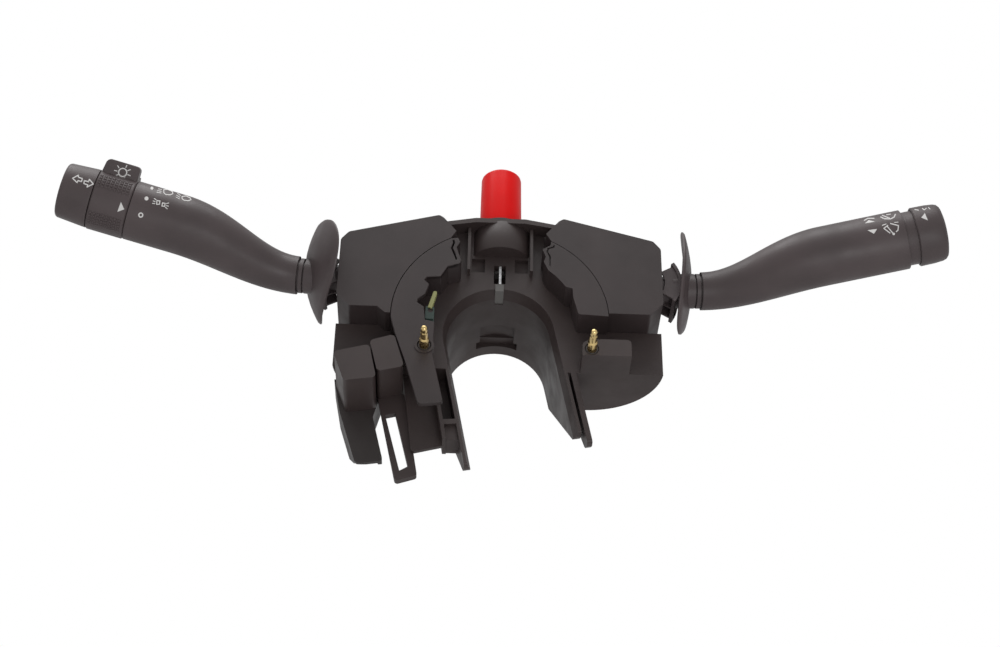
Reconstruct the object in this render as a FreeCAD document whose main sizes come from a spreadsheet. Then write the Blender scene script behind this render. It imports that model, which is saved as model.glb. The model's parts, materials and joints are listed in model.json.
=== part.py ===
"""Combination stalk switch for a steering column.

Millimetres. The origin lies on the column's axis, where the bore's straight wall begins.
+X is to the driver's right, +Y points along the column away from the driver, +Z is up.
Each body is drawn from the ring face and then moved so that its lead-in ends at the origin.
A height is measured from the ring face towards the driver, so it runs along -Y.
"""
import FreeCAD, Part
import math
import os

import Sketcher
from FreeCAD import Placement, Rotation, Vector

SIZES = {
    # saddle round the steering column
    "bore_radius": 24.5,
    "rim_radius": 26.3,
    "rim_lead": 6.4,
    "tunnel_length": 52.5,
    "tunnel_wall": 3.2,
    "mouth_tilt": 11.0,
    "left_leg_length": 67.0,
    "right_leg_length": 58.5,
    "fin_length": 64.0,
    "fin_wall": 2.5,
    "fin_gap": 1.4,
    # body of the housing behind the ring face
    "body_half_width": 76.5,
    "body_depth": 32.0,
    "body_bottom": 20.0,
    "body_corner": 34.0,
    "body_wall": 2.5,
    # switch modules
    "module_half_width": 76.0,
    "module_rise": 15.0,
    "module_depth": 14.0,
    "module_wall": 2.0,
    "module_bottom": 3.6,
    "module_shoulder": 46.5,
    "module_crown": 58.3,
    "parting_radius": 50.5,
    "parting_gap": 0.3,
    "hub_radius": 35.4,
    # stalk pivots
    "pivot_offset": 66.0,
    "pivot_height": 27.0,
    "pivot_setback": 1.0,
    "trunnion_radius": 3.0,
    "rock_pin_radius": 2.0,
    "running_gap": 0.05,
    "clear_gap": 0.3,
    "neck_radius": 7.0,
    # stalks
    "neck_end_radius": 9.1,
    "barrel_radius": 14.0,
    "arm_start": 30.0,
    "collar_radius": 10.0,
    "shield_height": 51.0,
    "shield_depth": 44.0,
    "shield_wall": 1.8,
    "shield_place": 21.5,
    "left_root_rise": 5.4,
    "right_root_rise": 2.4,
    # hazard switch
    "button_radius": 9.4,
    "button_base_radius": 10.2,
    "button_top": 98.0,
    "button_travel": 4.5,
    "button_setback": 6.8,
    "boss_radius": 13.4,
    "boss_top": 64.6,
    "boss_bottom": 45.5,
    "roof_rise": 8.0,
    "roof_wall": 2.4,
    # horn contacts
    "pin_reach": 14.5,
    "pin_radius": 2.2,
    "pin_tip_radius": 1.5,
    "pin_travel": 3.0,
    "sleeve_radius": 3.3,
    # small pieces
    "plate_wall": 2.4,
    "yoke_half": 9.0,
    "trunnion_length": 2.6,
    "tongue_half": 4.0,
    "finger_radius": 1.1,
    "plunger_radius": 3.0,
    "plunger_tip_radius": 1.5,
    "cam_radius": 13.4,
    "screw_radius": 1.6,
    "screw_seat": 26.0,
    "spindle_radius": 9.0,
    "ring_length": 17.6,
    "button_stroke": 3.0,
    "block_depth": 12.0,
    "tongue_length": 10.0,
    "pawl_pivot_radius": 1.2,
}

doc = FreeCAD.newDocument("stalk_switch")
sheet = doc.addObject("Spreadsheet::Sheet", "Sizes")
for row, (alias, number) in enumerate(SIZES.items(), start=1):
    sheet.set(f"A{row}", alias)
    sheet.set(f"B{row}", str(number))
    sheet.setAlias(f"B{row}", alias)
doc.recompute()


class Size:
    """The sheet's values as attributes, such as size.bore_radius."""

    def __init__(self, cells):
        for name in SIZES:
            setattr(self, name, float(cells.get(name)))


size = Size(sheet)
LEFT, RIGHT = -1, 1
SIDE_NAME = {LEFT: "left", RIGHT: "right"}
RING_FACE = Placement(Vector(0, -size.rim_lead, 0), Rotation())
parts = []


def bound(text):
    """An expression for a bound size: each name becomes its cell in the sheet."""
    words = text.split(" ")
    return " ".join(f"Sizes.{word}" if word in SIZES else word for word in words)


def origin_plane(body, role):
    for feature in body.Origin.OriginFeatures:
        if feature.Role == role:
            return feature
    raise ValueError(role)


def new_body(label, place=None):
    body = doc.addObject("PartDesign::Body", label)
    body.Label = label
    body.Placement = RING_FACE.multiply(place or Placement())
    parts.append(body)
    return body


def new_sketch(body, name, role="XZ_Plane", height=None, turn=None, base=(0, 0, 0)):
    """A sketch on an origin plane. A height is an expression along the plane's normal."""
    sketch = body.newObject("Sketcher::SketchObject", name)
    sketch.AttachmentSupport = [(origin_plane(body, role), "")]
    sketch.MapMode = "FlatFace"
    sketch.AttachmentOffset = Placement(Vector(*base), turn or Rotation())
    if height is not None:
        sketch.setExpression("AttachmentOffset.Base.z", bound(height))
    return sketch


def arc(start, middle, end):
    return Part.Arc(Vector(*start, 0), Vector(*middle, 0), Vector(*end, 0))


def line(start, end):
    return Part.LineSegment(Vector(*start, 0), Vector(*end, 0))


def polar(radius, degrees):
    return (radius * math.cos(math.radians(degrees)), radius * math.sin(math.radians(degrees)))


def around(radius, first, last):
    """An arc about the sketch's origin between two angles."""
    return arc(polar(radius, first), polar(radius, (first + last) / 2), polar(radius, last))


def rounded(corners):
    """Closed outline of (x, y) or (x, y, radius) corners, each radius as a tangent arc."""
    count = len(corners)
    ends = []
    for index in range(count):
        x, y, *extra = corners[index]
        radius = extra[0] if extra else 0
        here = Vector(x, y, 0)
        before = Vector(*corners[index - 1][:2], 0)
        after = Vector(*corners[(index + 1) % count][:2], 0)
        inward = (before - here).normalize()
        onward = (after - here).normalize()
        if radius == 0:
            ends.append((here, None, here))
            continue
        half = inward.getAngle(onward) / 2
        reach = radius / math.tan(half)
        bisector = (inward + onward).normalize()
        centre = here + bisector * (radius / math.sin(half))
        ends.append((here + inward * reach, centre - bisector * radius, here + onward * reach))
    edges = []
    for index in range(count):
        first, middle, last = ends[index]
        if middle is not None:
            edges.append(Part.Arc(first, middle, last))
        following = ends[(index + 1) % count][0]
        if (following - last).Length > 1e-6:
            edges.append(Part.LineSegment(last, following))
    return edges


def mirrored(points, side):
    return [(side * point[0], *point[1:]) for point in points]


def draw(sketch, edges):
    """Adds joined edges to a sketch and ties each end to the next edge's start."""
    numbers = [sketch.addGeometry(edge, False) for edge in edges]
    ends = [(sketch.getPoint(number, 1), sketch.getPoint(number, 2)) for number in numbers]
    for index, number in enumerate(numbers):
        following = (index + 1) % len(numbers)
        for own in (0, 1):
            for other in (0, 1):
                if (ends[index][own] - ends[following][other]).Length < 1e-6 and len(numbers) > 1:
                    sketch.addConstraint(Sketcher.Constraint(
                        "Coincident", number, own + 1, numbers[following], other + 1))
    return sketch


def draw_circle(sketch, centre, radius):
    """A circle whose radius is an expression of named sizes."""
    number = sketch.addGeometry(Part.Circle(Vector(*centre, 0), Vector(0, 0, 1), 1.0), False)
    sketch.addConstraint(Sketcher.Constraint("DistanceX", -1, 1, number, 3, centre[0]))
    sketch.addConstraint(Sketcher.Constraint("DistanceY", -1, 1, number, 3, centre[1]))
    index = sketch.addConstraint(Sketcher.Constraint("Radius", number, 1.0))
    sketch.setExpression(f"Constraints[{index}]", bound(radius))
    return sketch


def draw_box(sketch, left, bottom, right, top):
    return draw(sketch, rounded([(left, bottom), (right, bottom), (right, top), (left, top)]))


def pad(body, sketch, length, reverse=False, middle=False):
    feature = body.newObject("PartDesign::Pad", sketch.Name + "_pad")
    feature.Profile = sketch
    feature.Reversed = reverse
    if middle:
        feature.SideType = "Symmetric"
    feature.setExpression("Length", bound(length))
    sketch.Visibility = False
    return feature


def pocket(body, sketch, length=None, reverse=False, middle=False):
    """Cuts a sketch into the body and raises if that takes nothing away."""
    doc.recompute()
    before = body.Shape.Volume
    feature = body.newObject("PartDesign::Pocket", sketch.Name + "_pocket")
    feature.Profile = sketch
    feature.Reversed = reverse
    if middle:
        feature.SideType = "Symmetric"
    if length is None:
        feature.Type = "ThroughAll"
    else:
        feature.setExpression("Length", bound(length))
    doc.recompute()
    if not body.Shape.Volume < before - 0.01:
        raise RuntimeError(f"{body.Label}: {sketch.Name} cuts nothing")
    return feature


def slab(body, name, edges, rear, front):
    """A pad of an XZ outline between two heights towards the driver."""
    sketch = draw(new_sketch(body, name, height=rear), edges)
    return pad(body, sketch, f"( {front} ) - ( {rear} )")


def cut_slab(body, name, edges, rear, front):
    """A pocket of an XZ outline between two heights towards the driver."""
    sketch = draw(new_sketch(body, name, height=front), edges)
    return pocket(body, sketch, f"( {front} ) - ( {rear} )")


def cut_hole(body, name, centre, radius, rear, front):
    sketch = draw_circle(new_sketch(body, name, height=front), centre, radius)
    return pocket(body, sketch, f"( {front} ) - ( {rear} )")


def boss(body, name, centre, radius, rear, front):
    sketch = draw_circle(new_sketch(body, name, height=rear), centre, radius)
    return pad(body, sketch, f"( {front} ) - ( {rear} )")


def facing(origin, axis):
    """Placement whose own Z runs along an axis."""
    return Placement(Vector(*origin), Rotation(Vector(0, 0, 1), Vector(*axis)))


def turned(label, profile, place):
    """A piece turned about its own Z from (radius, height) corners."""
    body = new_body(label, place)
    sketch = draw(new_sketch(body, label + "_profile"), rounded(profile))
    feature = body.newObject("PartDesign::Revolution", label + "_turned")
    feature.Profile = sketch
    feature.ReferenceAxis = (sketch, ["V_Axis"])
    feature.Angle = 360
    return body


def dress(body, kind, name, edges_of, amount):
    """A fillet or chamfer on the edges that a test picks from the body's last feature."""
    doc.recompute()
    base = body.Tip
    picked = [f"Edge{number}" for number, edge in enumerate(base.Shape.Edges, start=1)
              if edges_of(edge)]
    feature = body.newObject(f"PartDesign::{kind}", name)
    feature.Base = (base, picked)
    if kind == "Fillet":
        feature.Radius = amount
    else:
        feature.Size = amount
    doc.recompute()
    return feature


def at_height(height, tolerance=0.01):
    """Picks edges that lie wholly at a height in front of the ring face."""
    return lambda edge: all(abs(vertex.Y + height) < tolerance for vertex in edge.Vertexes)


# Outlines of the switch modules

TOP_ANGLE = 61.8
INNER_ANGLE = 60.0
LOBE_DROP = {LEFT: 3.4, RIGHT: 0.0}


def module_top(side):
    """Corners of a module's upper edge, from the crenellated inner end outwards."""
    return mirrored([
        (21.4, 49.0),
        (27.6, 56.8),
        (29.8, size.module_crown, 2.0),
        (size.module_half_width - 3.6, size.module_shoulder, 3.0),
        (size.module_half_width, size.module_shoulder - 4.6, 3.0),
    ], side)


def open_outline(corners):
    """Edges through corners in order, with tangent arcs where a corner has a radius."""
    closed = rounded(corners)
    first = Vector(*corners[0][:2], 0)
    last = Vector(*corners[-1][:2], 0)
    kept = []
    for edge in closed:
        ends = (edge.StartPoint, edge.EndPoint)
        if any((end - first).Length < 1e-6 for end in ends) and \
                any((end - last).Length < 1e-6 for end in ends):
            continue
        kept.append(edge)
    return kept


def cover_outline(side, radius, bottom, lobe):
    """A module outside the parting arc: arc, crenellated end, top edge, side and bottom."""
    start = polar(radius, TOP_ANGLE)
    foot = (math.sqrt(radius ** 2 - (bottom - lobe) ** 2), bottom - lobe)
    foot_angle = math.degrees(math.atan2(foot[1], foot[0]))
    corners = [(side * start[0], start[1])] + module_top(side)
    corners += mirrored([
        (size.module_half_width, bottom + 6.4, 2.0),
        (size.module_half_width - 6.2, bottom, 2.0),
    ], side)
    if lobe > 0:
        corners += mirrored([(foot[0] + 6.2, bottom, 1.0), (foot[0] + 2.4, bottom - lobe, 1.0)], side)
    corners += [(side * foot[0], foot[1])]
    middle = polar(radius, (TOP_ANGLE + foot_angle) / 2)
    closing = arc((side * foot[0], foot[1]), (side * middle[0], middle[1]),
                  (side * start[0], start[1]))
    return open_outline(corners) + [closing]


def sector_outline(side, radius, inner):
    """The plate between the parting arc and the hub space, with the left one's strap."""
    start = polar(radius, TOP_ANGLE)
    crenels = mirrored([(start[0] + 0.3, 42.6), (start[0] - 2.0, 38.0), (start[0] - 4.0, 33.4)], side)
    rise = polar(inner, INNER_ANGLE)
    if side == LEFT:
        foot = polar(radius, -2.5)
        inner_foot = polar(inner, -6.0)
        lower = mirrored([
            foot,
            (foot[0] - 2.6, foot[1] - 9.0, 4.0),
            (42.5, -27.0, 12.0),
            (35.9, -49.3, 2.2),
            (24.7, -47.8, 1.2),
            (30.4, -22.0, 3.0),
            (30.2, -13.4, 2.0),
            (inner_foot[0], inner_foot[1] - 3.0),
            inner_foot,
        ], side)
    else:
        foot = polar(radius, 2.2)
        inner_foot = polar(inner, 29.5)
        lower = mirrored([
            foot,
            (37.4, foot[1], 1.0),
            (34.2, 15.6, 1.0),
            inner_foot,
        ], side)
    outer_middle = polar(radius, (TOP_ANGLE + math.degrees(math.atan2(foot[1], foot[0]))) / 2)
    inner_angle = math.degrees(math.atan2(inner_foot[1], inner_foot[0]))
    inner_middle = polar(inner, (INNER_ANGLE + inner_angle) / 2)
    edges = [arc((side * start[0], start[1]), (side * outer_middle[0], outer_middle[1]),
                 (side * foot[0], foot[1]))]
    edges += open_outline(lower)
    edges += [arc((side * inner_foot[0], inner_foot[1]), (side * inner_middle[0], inner_middle[1]),
                  (side * rise[0], rise[1]))]
    edges += open_outline([(side * rise[0], rise[1])] + crenels[::-1] + [(side * start[0], start[1])])
    return edges


def inset(edges, wall):
    """The same closed outline, moved inwards by a wall's thickness."""
    outline = Part.Wire(Part.sortEdges([edge.toShape() for edge in edges])[0])
    moved = outline.makeOffset2D(-wall, 2)
    kept = []
    for edge in moved.OrderedEdges:
        first, last = edge.firstVertex(True).Point, edge.lastVertex(True).Point
        if isinstance(edge.Curve, Part.Line):
            kept.append(Part.LineSegment(first, last))
        else:
            halfway = edge.valueAt((edge.FirstParameter + edge.LastParameter) / 2)
            kept.append(Part.Arc(first, halfway, last))
    return kept


# Frame of a stalk's pivot: own Z points out along the stalk's root

ROOT_RISE = {LEFT: size.left_root_rise, RIGHT: size.right_root_rise}


def pivot_point(side):
    return Vector(side * size.pivot_offset, -size.pivot_setback, size.pivot_height)


def root_direction(side):
    rise = math.radians(ROOT_RISE[side])
    return Vector(side * math.cos(rise), 0, math.sin(rise))


def pivot_frame(side, out=0.0):
    """Own Z outwards along the root, own X upwards, own Y across the stalk."""
    outward = root_direction(side)
    upward = Vector(-side * outward.z, 0, side * outward.x)
    across = outward.cross(upward)
    turn = Rotation(upward, across, outward, "ZXY")
    return Placement(pivot_point(side) + outward * out, turn)


# Housing

def in_mouth(across, down, tilt):
    """A point given across and down the tilted mouth, as X and Z."""
    angle = math.radians(tilt)
    return (across * math.cos(angle) + down * math.sin(angle),
            across * math.sin(angle) - down * math.cos(angle))


def mouth_outline(radius, reach, tilt):
    """The column's bore with its open mouth."""
    left_top = in_mouth(-radius, 0, tilt)
    right_top = in_mouth(radius, 0, tilt)
    top = in_mouth(0, -radius, tilt)
    left_end = in_mouth(-radius, reach, tilt)
    right_end = in_mouth(radius, reach, tilt)
    return [arc(left_top, top, right_top), line(right_top, right_end),
            line(right_end, left_end), line(left_end, left_top)]


def leg_plate(body, name, inner, wall, length, depth, front_height="0"):
    """A leg of the saddle: a plate along the mouth, cut back towards its tip."""
    tilt = size.mouth_tilt
    turn = Rotation(Vector(1, 0, 0), -tilt)
    normal = Vector(0, math.sin(math.radians(tilt)), math.cos(math.radians(tilt)))
    sketch = new_sketch(body, name, "YZ_Plane", turn=turn, base=tuple(normal * inner))
    corners = [(0, 0), (depth, 0), (depth, -12.0, 6.0), (9.0, -length + 2.0, 6.0), (4.0, -length, 2.0),
               (0, -length, 1.5)]
    draw(sketch, rounded(corners))
    return pad(body, sketch, wall)


def base_housing():
    """Saddle, ring face, body behind the modules, hazard boss and the lower blocks."""
    body = new_body("base_housing")
    half = size.body_half_width
    bottom = -size.body_bottom
    silhouette = [
        (-half, bottom), (half, bottom), (half, 41.6, 3.0), (half - 3.6, size.module_shoulder, 3.0),
        (31.0, 58.0), (27.0, 59.6), (12.0, 61.6), (-12.0, 61.6), (-27.0, 59.6), (-31.0, 58.0),
        (-half + 3.6, size.module_shoulder, 3.0), (-half, 41.6, 3.0),
    ]
    slab(body, "body_outline", rounded(silhouette), "- body_depth", "0")
    round_rear_corners(body)
    for side in (LEFT, RIGHT):
        cut_case_seat(body, side)

    sketch = new_sketch(body, "tunnel", height="- tunnel_length")
    draw(sketch, mouth_outline(size.bore_radius + size.tunnel_wall, 12.0, size.mouth_tilt))
    pad(body, sketch, "tunnel_length")
    leg_plate(body, "left_leg", -size.bore_radius - size.tunnel_wall, "tunnel_wall",
              size.left_leg_length, size.tunnel_length)
    leg_plate(body, "right_leg", size.bore_radius, "tunnel_wall",
              size.right_leg_length, size.tunnel_length)
    fin_place = size.bore_radius + size.tunnel_wall + size.fin_gap
    leg_plate(body, "right_fin", fin_place, "fin_wall", size.fin_length, size.body_depth)

    lower_blocks(body)
    hazard_boss(body)

    sketch = draw(new_sketch(body, "bore", height="30"),
                  mouth_outline(size.bore_radius, 120.0, size.mouth_tilt))
    pocket(body, sketch)
    lead_in(body)
    ceiling_window(body)
    cut_slab(body, "tongue_groove", tongue_outline(23.0), "- tongue_length", "1")
    boss(body, "pawl_post", PAWL_PIVOT, "pawl_pivot_radius", "- 1", "11.6")
    for side in (LEFT, RIGHT):
        for place in screw_places(side):
            cut_hole(body, f"{SIDE_NAME[side]}_screw_hole", place, "screw_radius + running_gap",
                     "- body_depth - 1", "- module_depth + 1")
            cut_hole(body, f"{SIDE_NAME[side]}_screw_recess", place, "screw_radius * 2 + clear_gap",
                     "- body_depth - 1", "- screw_seat")
    return body


def round_rear_corners(body):
    """Rear corners of the body, rounded in plan."""
    half = size.body_half_width
    corner = size.body_corner
    for side in (LEFT, RIGHT):
        reach = half + 5.0
        depth = size.body_depth + 5.0
        sketch = new_sketch(body, f"{SIDE_NAME[side]}_rear_corner", "XY_Plane",
                            height="- body_bottom - 1")
        start = (side * half, size.body_depth - corner)
        end = (side * (half - corner), size.body_depth)
        bulge = corner * math.cos(math.pi / 4)
        middle = (side * (half - corner + bulge), size.body_depth - corner + bulge)
        draw(sketch, [arc(start, middle, end), line(end, (end[0], depth)),
                      line((end[0], depth), (side * reach, depth)),
                      line((side * reach, depth), (side * reach, start[1])),
                      line((side * reach, start[1]), start)])
        pocket(body, sketch, reverse=True)


def cut_case_seat(body, side):
    """Room for a switch case, open to the front, the side and above."""
    radius = size.parting_radius - 0.2
    floor = size.module_bottom - 0.2
    foot = math.sqrt(radius ** 2 - floor ** 2)
    start = polar(radius, TOP_ANGLE)
    middle = polar(radius, (TOP_ANGLE + 4.0) / 2)
    corners = mirrored([start, (21.2, 49.0), (21.2, 70.0), (90.0, 70.0), (90.0, floor),
                        (foot, floor)], side)
    closing = arc((side * foot, floor), (side * middle[0], middle[1]), (side * start[0], start[1]))
    cut_slab(body, f"{SIDE_NAME[side]}_case_seat", open_outline(corners) + [closing],
             "- module_depth", "0")


def lower_blocks(body):
    """Blocks that stand in front of the ring face below the modules."""
    bottom = -size.body_bottom
    slab(body, "right_block", rounded([
        (38.0, bottom), (60.5, bottom), (60.5, -11.0, 2.0), (47.0, -11.0, 2.0), (38.0, -12.4, 3.0),
    ]), "0", "module_rise")
    cut_hole(body, "right_sleeve_seat", PIN_PLACE[RIGHT], "sleeve_radius", "0", "module_rise")
    slab(body, "left_outer_block", rounded([
        (-75.4, -22.3, 2.0), (-59.3, -17.8, 2.0), (-55.2, -35.6, 2.0), (-69.8, -37.8, 2.0),
    ]), "- block_depth", "module_rise")
    slab(body, "left_inner_block", rounded([
        (-59.2, -15.6, 2.0), (-48.2, -11.9, 2.0), (-42.9, -29.2, 2.0), (-54.9, -32.4, 2.0),
    ]), "- block_depth", "module_rise")
    slab(body, "left_pocket_back", rounded([
        (-44.0, bottom + 1.0), (-30.0, bottom + 1.0), (-24.2, -57.5), (-38.6, -61.4, 1.5),
    ]), "- 8.4", "- 6.4")


def hazard_boss(body):
    """Guide boss for the hazard button, the roof round it and the neck below."""
    axis = (0, size.button_setback)
    sketch = draw_circle(new_sketch(body, "boss", "XY_Plane", height="boss_bottom"), axis,
                         "boss_radius")
    pad(body, sketch, "boss_top - boss_bottom")
    sketch = new_sketch(body, "roof", height="0")
    draw(sketch, rounded([(-27.5, 57.4), (-12.0, 60.2), (12.0, 60.2), (27.5, 57.4), (27.5, 59.8),
                          (12.0, 62.8), (-12.0, 62.8), (-27.5, 59.8)]))
    pad(body, sketch, "roof_rise")
    for side in (LEFT, RIGHT):
        rib = new_sketch(body, f"{SIDE_NAME[side]}_bay_rib", height="0")
        draw_box(rib, side * 15.0 - 0.7, 34.0, side * 15.0 + 0.7, 59.0)
        pad(body, rib, "5")
        recess = new_sketch(body, f"{SIDE_NAME[side]}_neck_recess", height="0")
        draw_box(recess, min(side * 7.2, side * 13.6), 36.0, max(side * 7.2, side * 13.6), 44.0)
        pocket(body, recess, "2.5")
    well = draw_circle(new_sketch(body, "button_well", "XY_Plane", height="boss_top"), axis,
                       "button_base_radius + clear_gap")
    pocket(body, well, "boss_top - boss_bottom - 3")
    shaft = draw_circle(new_sketch(body, "plunger_bore", "XY_Plane", height="boss_top"), axis,
                        "plunger_radius + running_gap")
    pocket(body, shaft, "boss_top - 33")
    slot = new_sketch(body, "latch_slot", height="0")
    draw_box(slot, -2.8, 29.4, 2.8, 40.2)
    pocket(body, slot, "button_setback - 0.8")


def lead_in(body):
    """Tapered mouth of the bore at the ring face."""
    doc.recompute()
    front = draw(new_sketch(body, "lead_in_front", height="0"),
                 mouth_outline(size.rim_radius, 119.0, size.mouth_tilt))
    rear = draw(new_sketch(body, "lead_in_rear", height="- rim_lead"),
                mouth_outline(size.bore_radius, 119.0, size.mouth_tilt))
    feature = body.newObject("PartDesign::SubtractiveLoft", "lead_in")
    feature.Profile = front
    feature.Sections = [rear]
    feature.Ruled = True
    doc.recompute()


def ceiling_window(body):
    """Window through the bore's ceiling, and the shallow ledge behind it."""
    for name, half, near, far, low in (("window", 8.3, 27.6, 40.4, 20.0), ("ledge", 10.0, 40.4, 45.6, 20.0)):
        sketch = new_sketch(body, name, "XY_Plane", height=f"{low}")
        draw_box(sketch, -half, near, half, far)
        if name == "window":
            pocket(body, sketch, "bore_radius + tunnel_wall - 19", reverse=True)
        else:
            pocket(body, sketch, "bore_radius - 18.4", reverse=True)


def tongue_outline(low):
    """Section of the lock tongue, down to a height."""
    return rounded([(-2.0, low), (2.0, low), (2.0, 28.8), (-2.0, 28.8)])


def screw_places(side):
    return [(side * 44.0, 36.0), (side * 54.0, 12.0)]


PAWL_PIVOT = (-32.2, 4.2)
PIN_PLACE = {LEFT: (-34.3, -17.4), RIGHT: (42.3, -16.4)}


# Switch modules

def side_opening(body, side, near, far):
    """The opening in a module's side wall that the stalk's neck passes through."""
    sketch = new_sketch(body, f"{body.Label}_neck_opening", "YZ_Plane",
                        height=f"{side * size.module_half_width - 4.0 * (side > 0) - 0.5} ")
    middle = size.pivot_height
    draw_box(sketch, near, middle - 11.8, far, middle + 11.8)
    pocket(body, sketch, "5", reverse=True)


def module_case(side):
    """Rear half of a switch module, with the seat of the yoke's rear trunnion."""
    body = new_body(f"{SIDE_NAME[side]}_module_case")
    radius = size.parting_radius + size.parting_gap / 2
    outline = cover_outline(side, radius, size.module_bottom, 0)
    slab(body, body.Label + "_outline", outline, "- module_depth", "0")
    cut_slab(body, body.Label + "_space", inset(outline, size.module_wall),
             "- module_depth + module_wall", "0")
    side_opening(body, side, -1.0, 9.2)
    centre = (side * size.pivot_offset, size.pivot_height)
    boss(body, body.Label + "_bearing", centre, "trunnion_radius + 2.5",
         "- module_depth + module_wall - 0.2", "- yoke_half - 0.5 + pivot_setback")
    cut_hole(body, body.Label + "_bearing_bore", centre, "trunnion_radius + running_gap",
             "- module_depth + module_wall", "0")
    for place in screw_places(side):
        boss(body, body.Label + "_screw_post", place, "screw_radius + 1.8",
             "- module_depth + module_wall - 0.2", "- 4")
        cut_hole(body, body.Label + "_screw_bore", place, "screw_radius + running_gap",
                 "- module_depth - 1", "- 6")
    return body


def module_cover(side):
    """Front half of a switch module, with the yoke's front seat and the detent cam."""
    body = new_body(f"{SIDE_NAME[side]}_module_cover")
    radius = size.parting_radius + size.parting_gap / 2
    outline = cover_outline(side, radius, size.module_bottom, LOBE_DROP[side])
    slab(body, body.Label + "_outline", outline, "0", "module_rise")
    cut_slab(body, body.Label + "_space", inset(outline, size.module_wall), "0",
             "module_rise - module_wall")
    side_opening(body, side, -11.2, 1.0)
    centre = (side * size.pivot_offset, size.pivot_height)
    boss(body, body.Label + "_bearing", centre, "trunnion_radius + 2.5",
         "yoke_half + 0.5 + pivot_setback", "module_rise - module_wall + 0.2")
    cut_hole(body, body.Label + "_bearing_bore", centre, "trunnion_radius + running_gap",
             "0", "module_rise - module_wall")
    cam = new_sketch(body, body.Label + "_cam", height="2")
    first, last = cam_angles(side)
    draw(cam, ring_sector(centre, size.cam_radius, size.cam_radius + 2.0, first, last))
    pad(body, cam, "module_rise - module_wall - 1.8")
    return body


def cam_angles(side):
    """Angles about the pivot that the detent plunger sweeps."""
    middle = 148.3 + ROOT_RISE[RIGHT] if side == RIGHT else 31.7 - ROOT_RISE[LEFT]
    return (middle - 34.0, middle + 34.0)


def ring_sector(centre, inner, outer, first, last):
    """Closed outline of part of a ring round a centre."""
    def point(radius, degrees):
        x, y = polar(radius, degrees)
        return (centre[0] + x, centre[1] + y)
    middle = (first + last) / 2
    return [arc(point(inner, first), point(inner, middle), point(inner, last)),
            line(point(inner, last), point(outer, last)),
            arc(point(outer, last), point(outer, middle), point(outer, first)),
            line(point(outer, first), point(inner, first))]


def sector_plate(side):
    """Plate between the parting arc and the hub space. The left one carries a strap."""
    body = new_body(f"{SIDE_NAME[side]}_sector_plate")
    radius = size.parting_radius - size.parting_gap / 2
    slab(body, body.Label + "_outline", sector_outline(side, radius, size.hub_radius),
         "module_rise - plate_wall", "module_rise")
    first, last = (30.0, INNER_ANGLE) if side == RIGHT else (180.0 - INNER_ANGLE, 176.0)
    wall = new_sketch(body, body.Label + "_wall", height="0")
    draw(wall, ring_sector((0, 0), size.hub_radius, size.hub_radius + size.module_wall, first, last))
    pad(body, wall, "module_rise - 1")
    if side == LEFT:
        opening = rounded([(-34.4, 20.4), (-25.2, 20.4), (-24.4, 11.0), (-30.4, 6.0), (-33.6, 10.0)])
        cut_slab(body, "pawl_opening", opening, "1", "module_rise + 1")
        boss(body, "left_pin_collar", PIN_PLACE[LEFT], "sleeve_radius + 1.2",
             "module_rise - plate_wall - 3", "module_rise + 0.4")
        cut_hole(body, "left_sleeve_seat", PIN_PLACE[LEFT], "sleeve_radius", "0",
                 "module_rise + 1")
    return body


# Stalk carriers

def yoke(side):
    """Carrier that turns about the column's direction and holds the stalk's root."""
    body = new_body(f"{SIDE_NAME[side]}_yoke", pivot_frame(side))
    block = new_sketch(body, body.Label + "_block")
    draw(block, rounded([(-9.0, -8.0, 2.0), (9.0, -8.0, 2.0), (9.0, 7.5, 2.0), (-9.0, 7.5, 2.0)]))
    pad(body, block, "yoke_half * 2", middle=True)
    for end in (LEFT, RIGHT):
        rear, front = ("yoke_half", "yoke_half + trunnion_length") if end > 0 else \
            ("- yoke_half - trunnion_length", "- yoke_half")
        boss(body, f"{body.Label}_trunnion", (0, 0), "trunnion_radius", rear, front)
    floor_first = "- 9" if side == LEFT else "7"
    arm = new_sketch(body, body.Label + "_finger_arm", height=floor_first)
    draw_box(arm, -2.5, -12.4, 2.5, -7.0)
    pad(body, arm, "2")
    finger = ("- 11.6", "- 8.9") if side == LEFT else ("8.9", "11.6")
    boss(body, body.Label + "_finger", (0, -11.0), "finger_radius", *finger)
    slot = new_sketch(body, body.Label + "_slot", "XY_Plane", height="- 20")
    draw_box(slot, -size.tongue_half - 0.2, -7.0, size.tongue_half + 0.2, 7.0)
    pocket(body, slot, reverse=True)
    bore = draw_circle(new_sketch(body, body.Label + "_pin_bore", "YZ_Plane", height="- 10"), (0, 0),
                       "rock_pin_radius")
    pocket(body, bore, reverse=True)
    seat = draw_circle(new_sketch(body, body.Label + "_plunger_seat", "XY_Plane", height="- 8"),
                       (6.6, side * 4.0), "plunger_tip_radius + running_gap")
    pocket(body, seat, "7", reverse=True)
    return body


def rock_pin(side):
    """Pin that the stalk's root rocks about in its yoke."""
    place = pivot_frame(side)
    upward = place.Rotation.multVec(Vector(1, 0, 0))
    start = place.Base - upward * 8.8
    return turned(f"{SIDE_NAME[side]}_rock_pin", [
        (0, 0), (size.rock_pin_radius, 0), (size.rock_pin_radius, 17.6), (0, 17.6),
    ], facing(start, upward))


def detent_plunger(side):
    """Rounded plunger between the yoke and the cover's cam."""
    place = pivot_frame(side)
    start = place.multVec(Vector(6.6, side * 4.0, -10.7))
    along = place.Rotation.multVec(Vector(0, 0, 1))
    radius = size.plunger_tip_radius
    return turned(f"{SIDE_NAME[side]}_detent_plunger", [
        (0, 0), (radius - 0.6, 0), (radius, 0.9), (radius, 9.6), (0, 9.6),
    ], facing(start, along))


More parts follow.
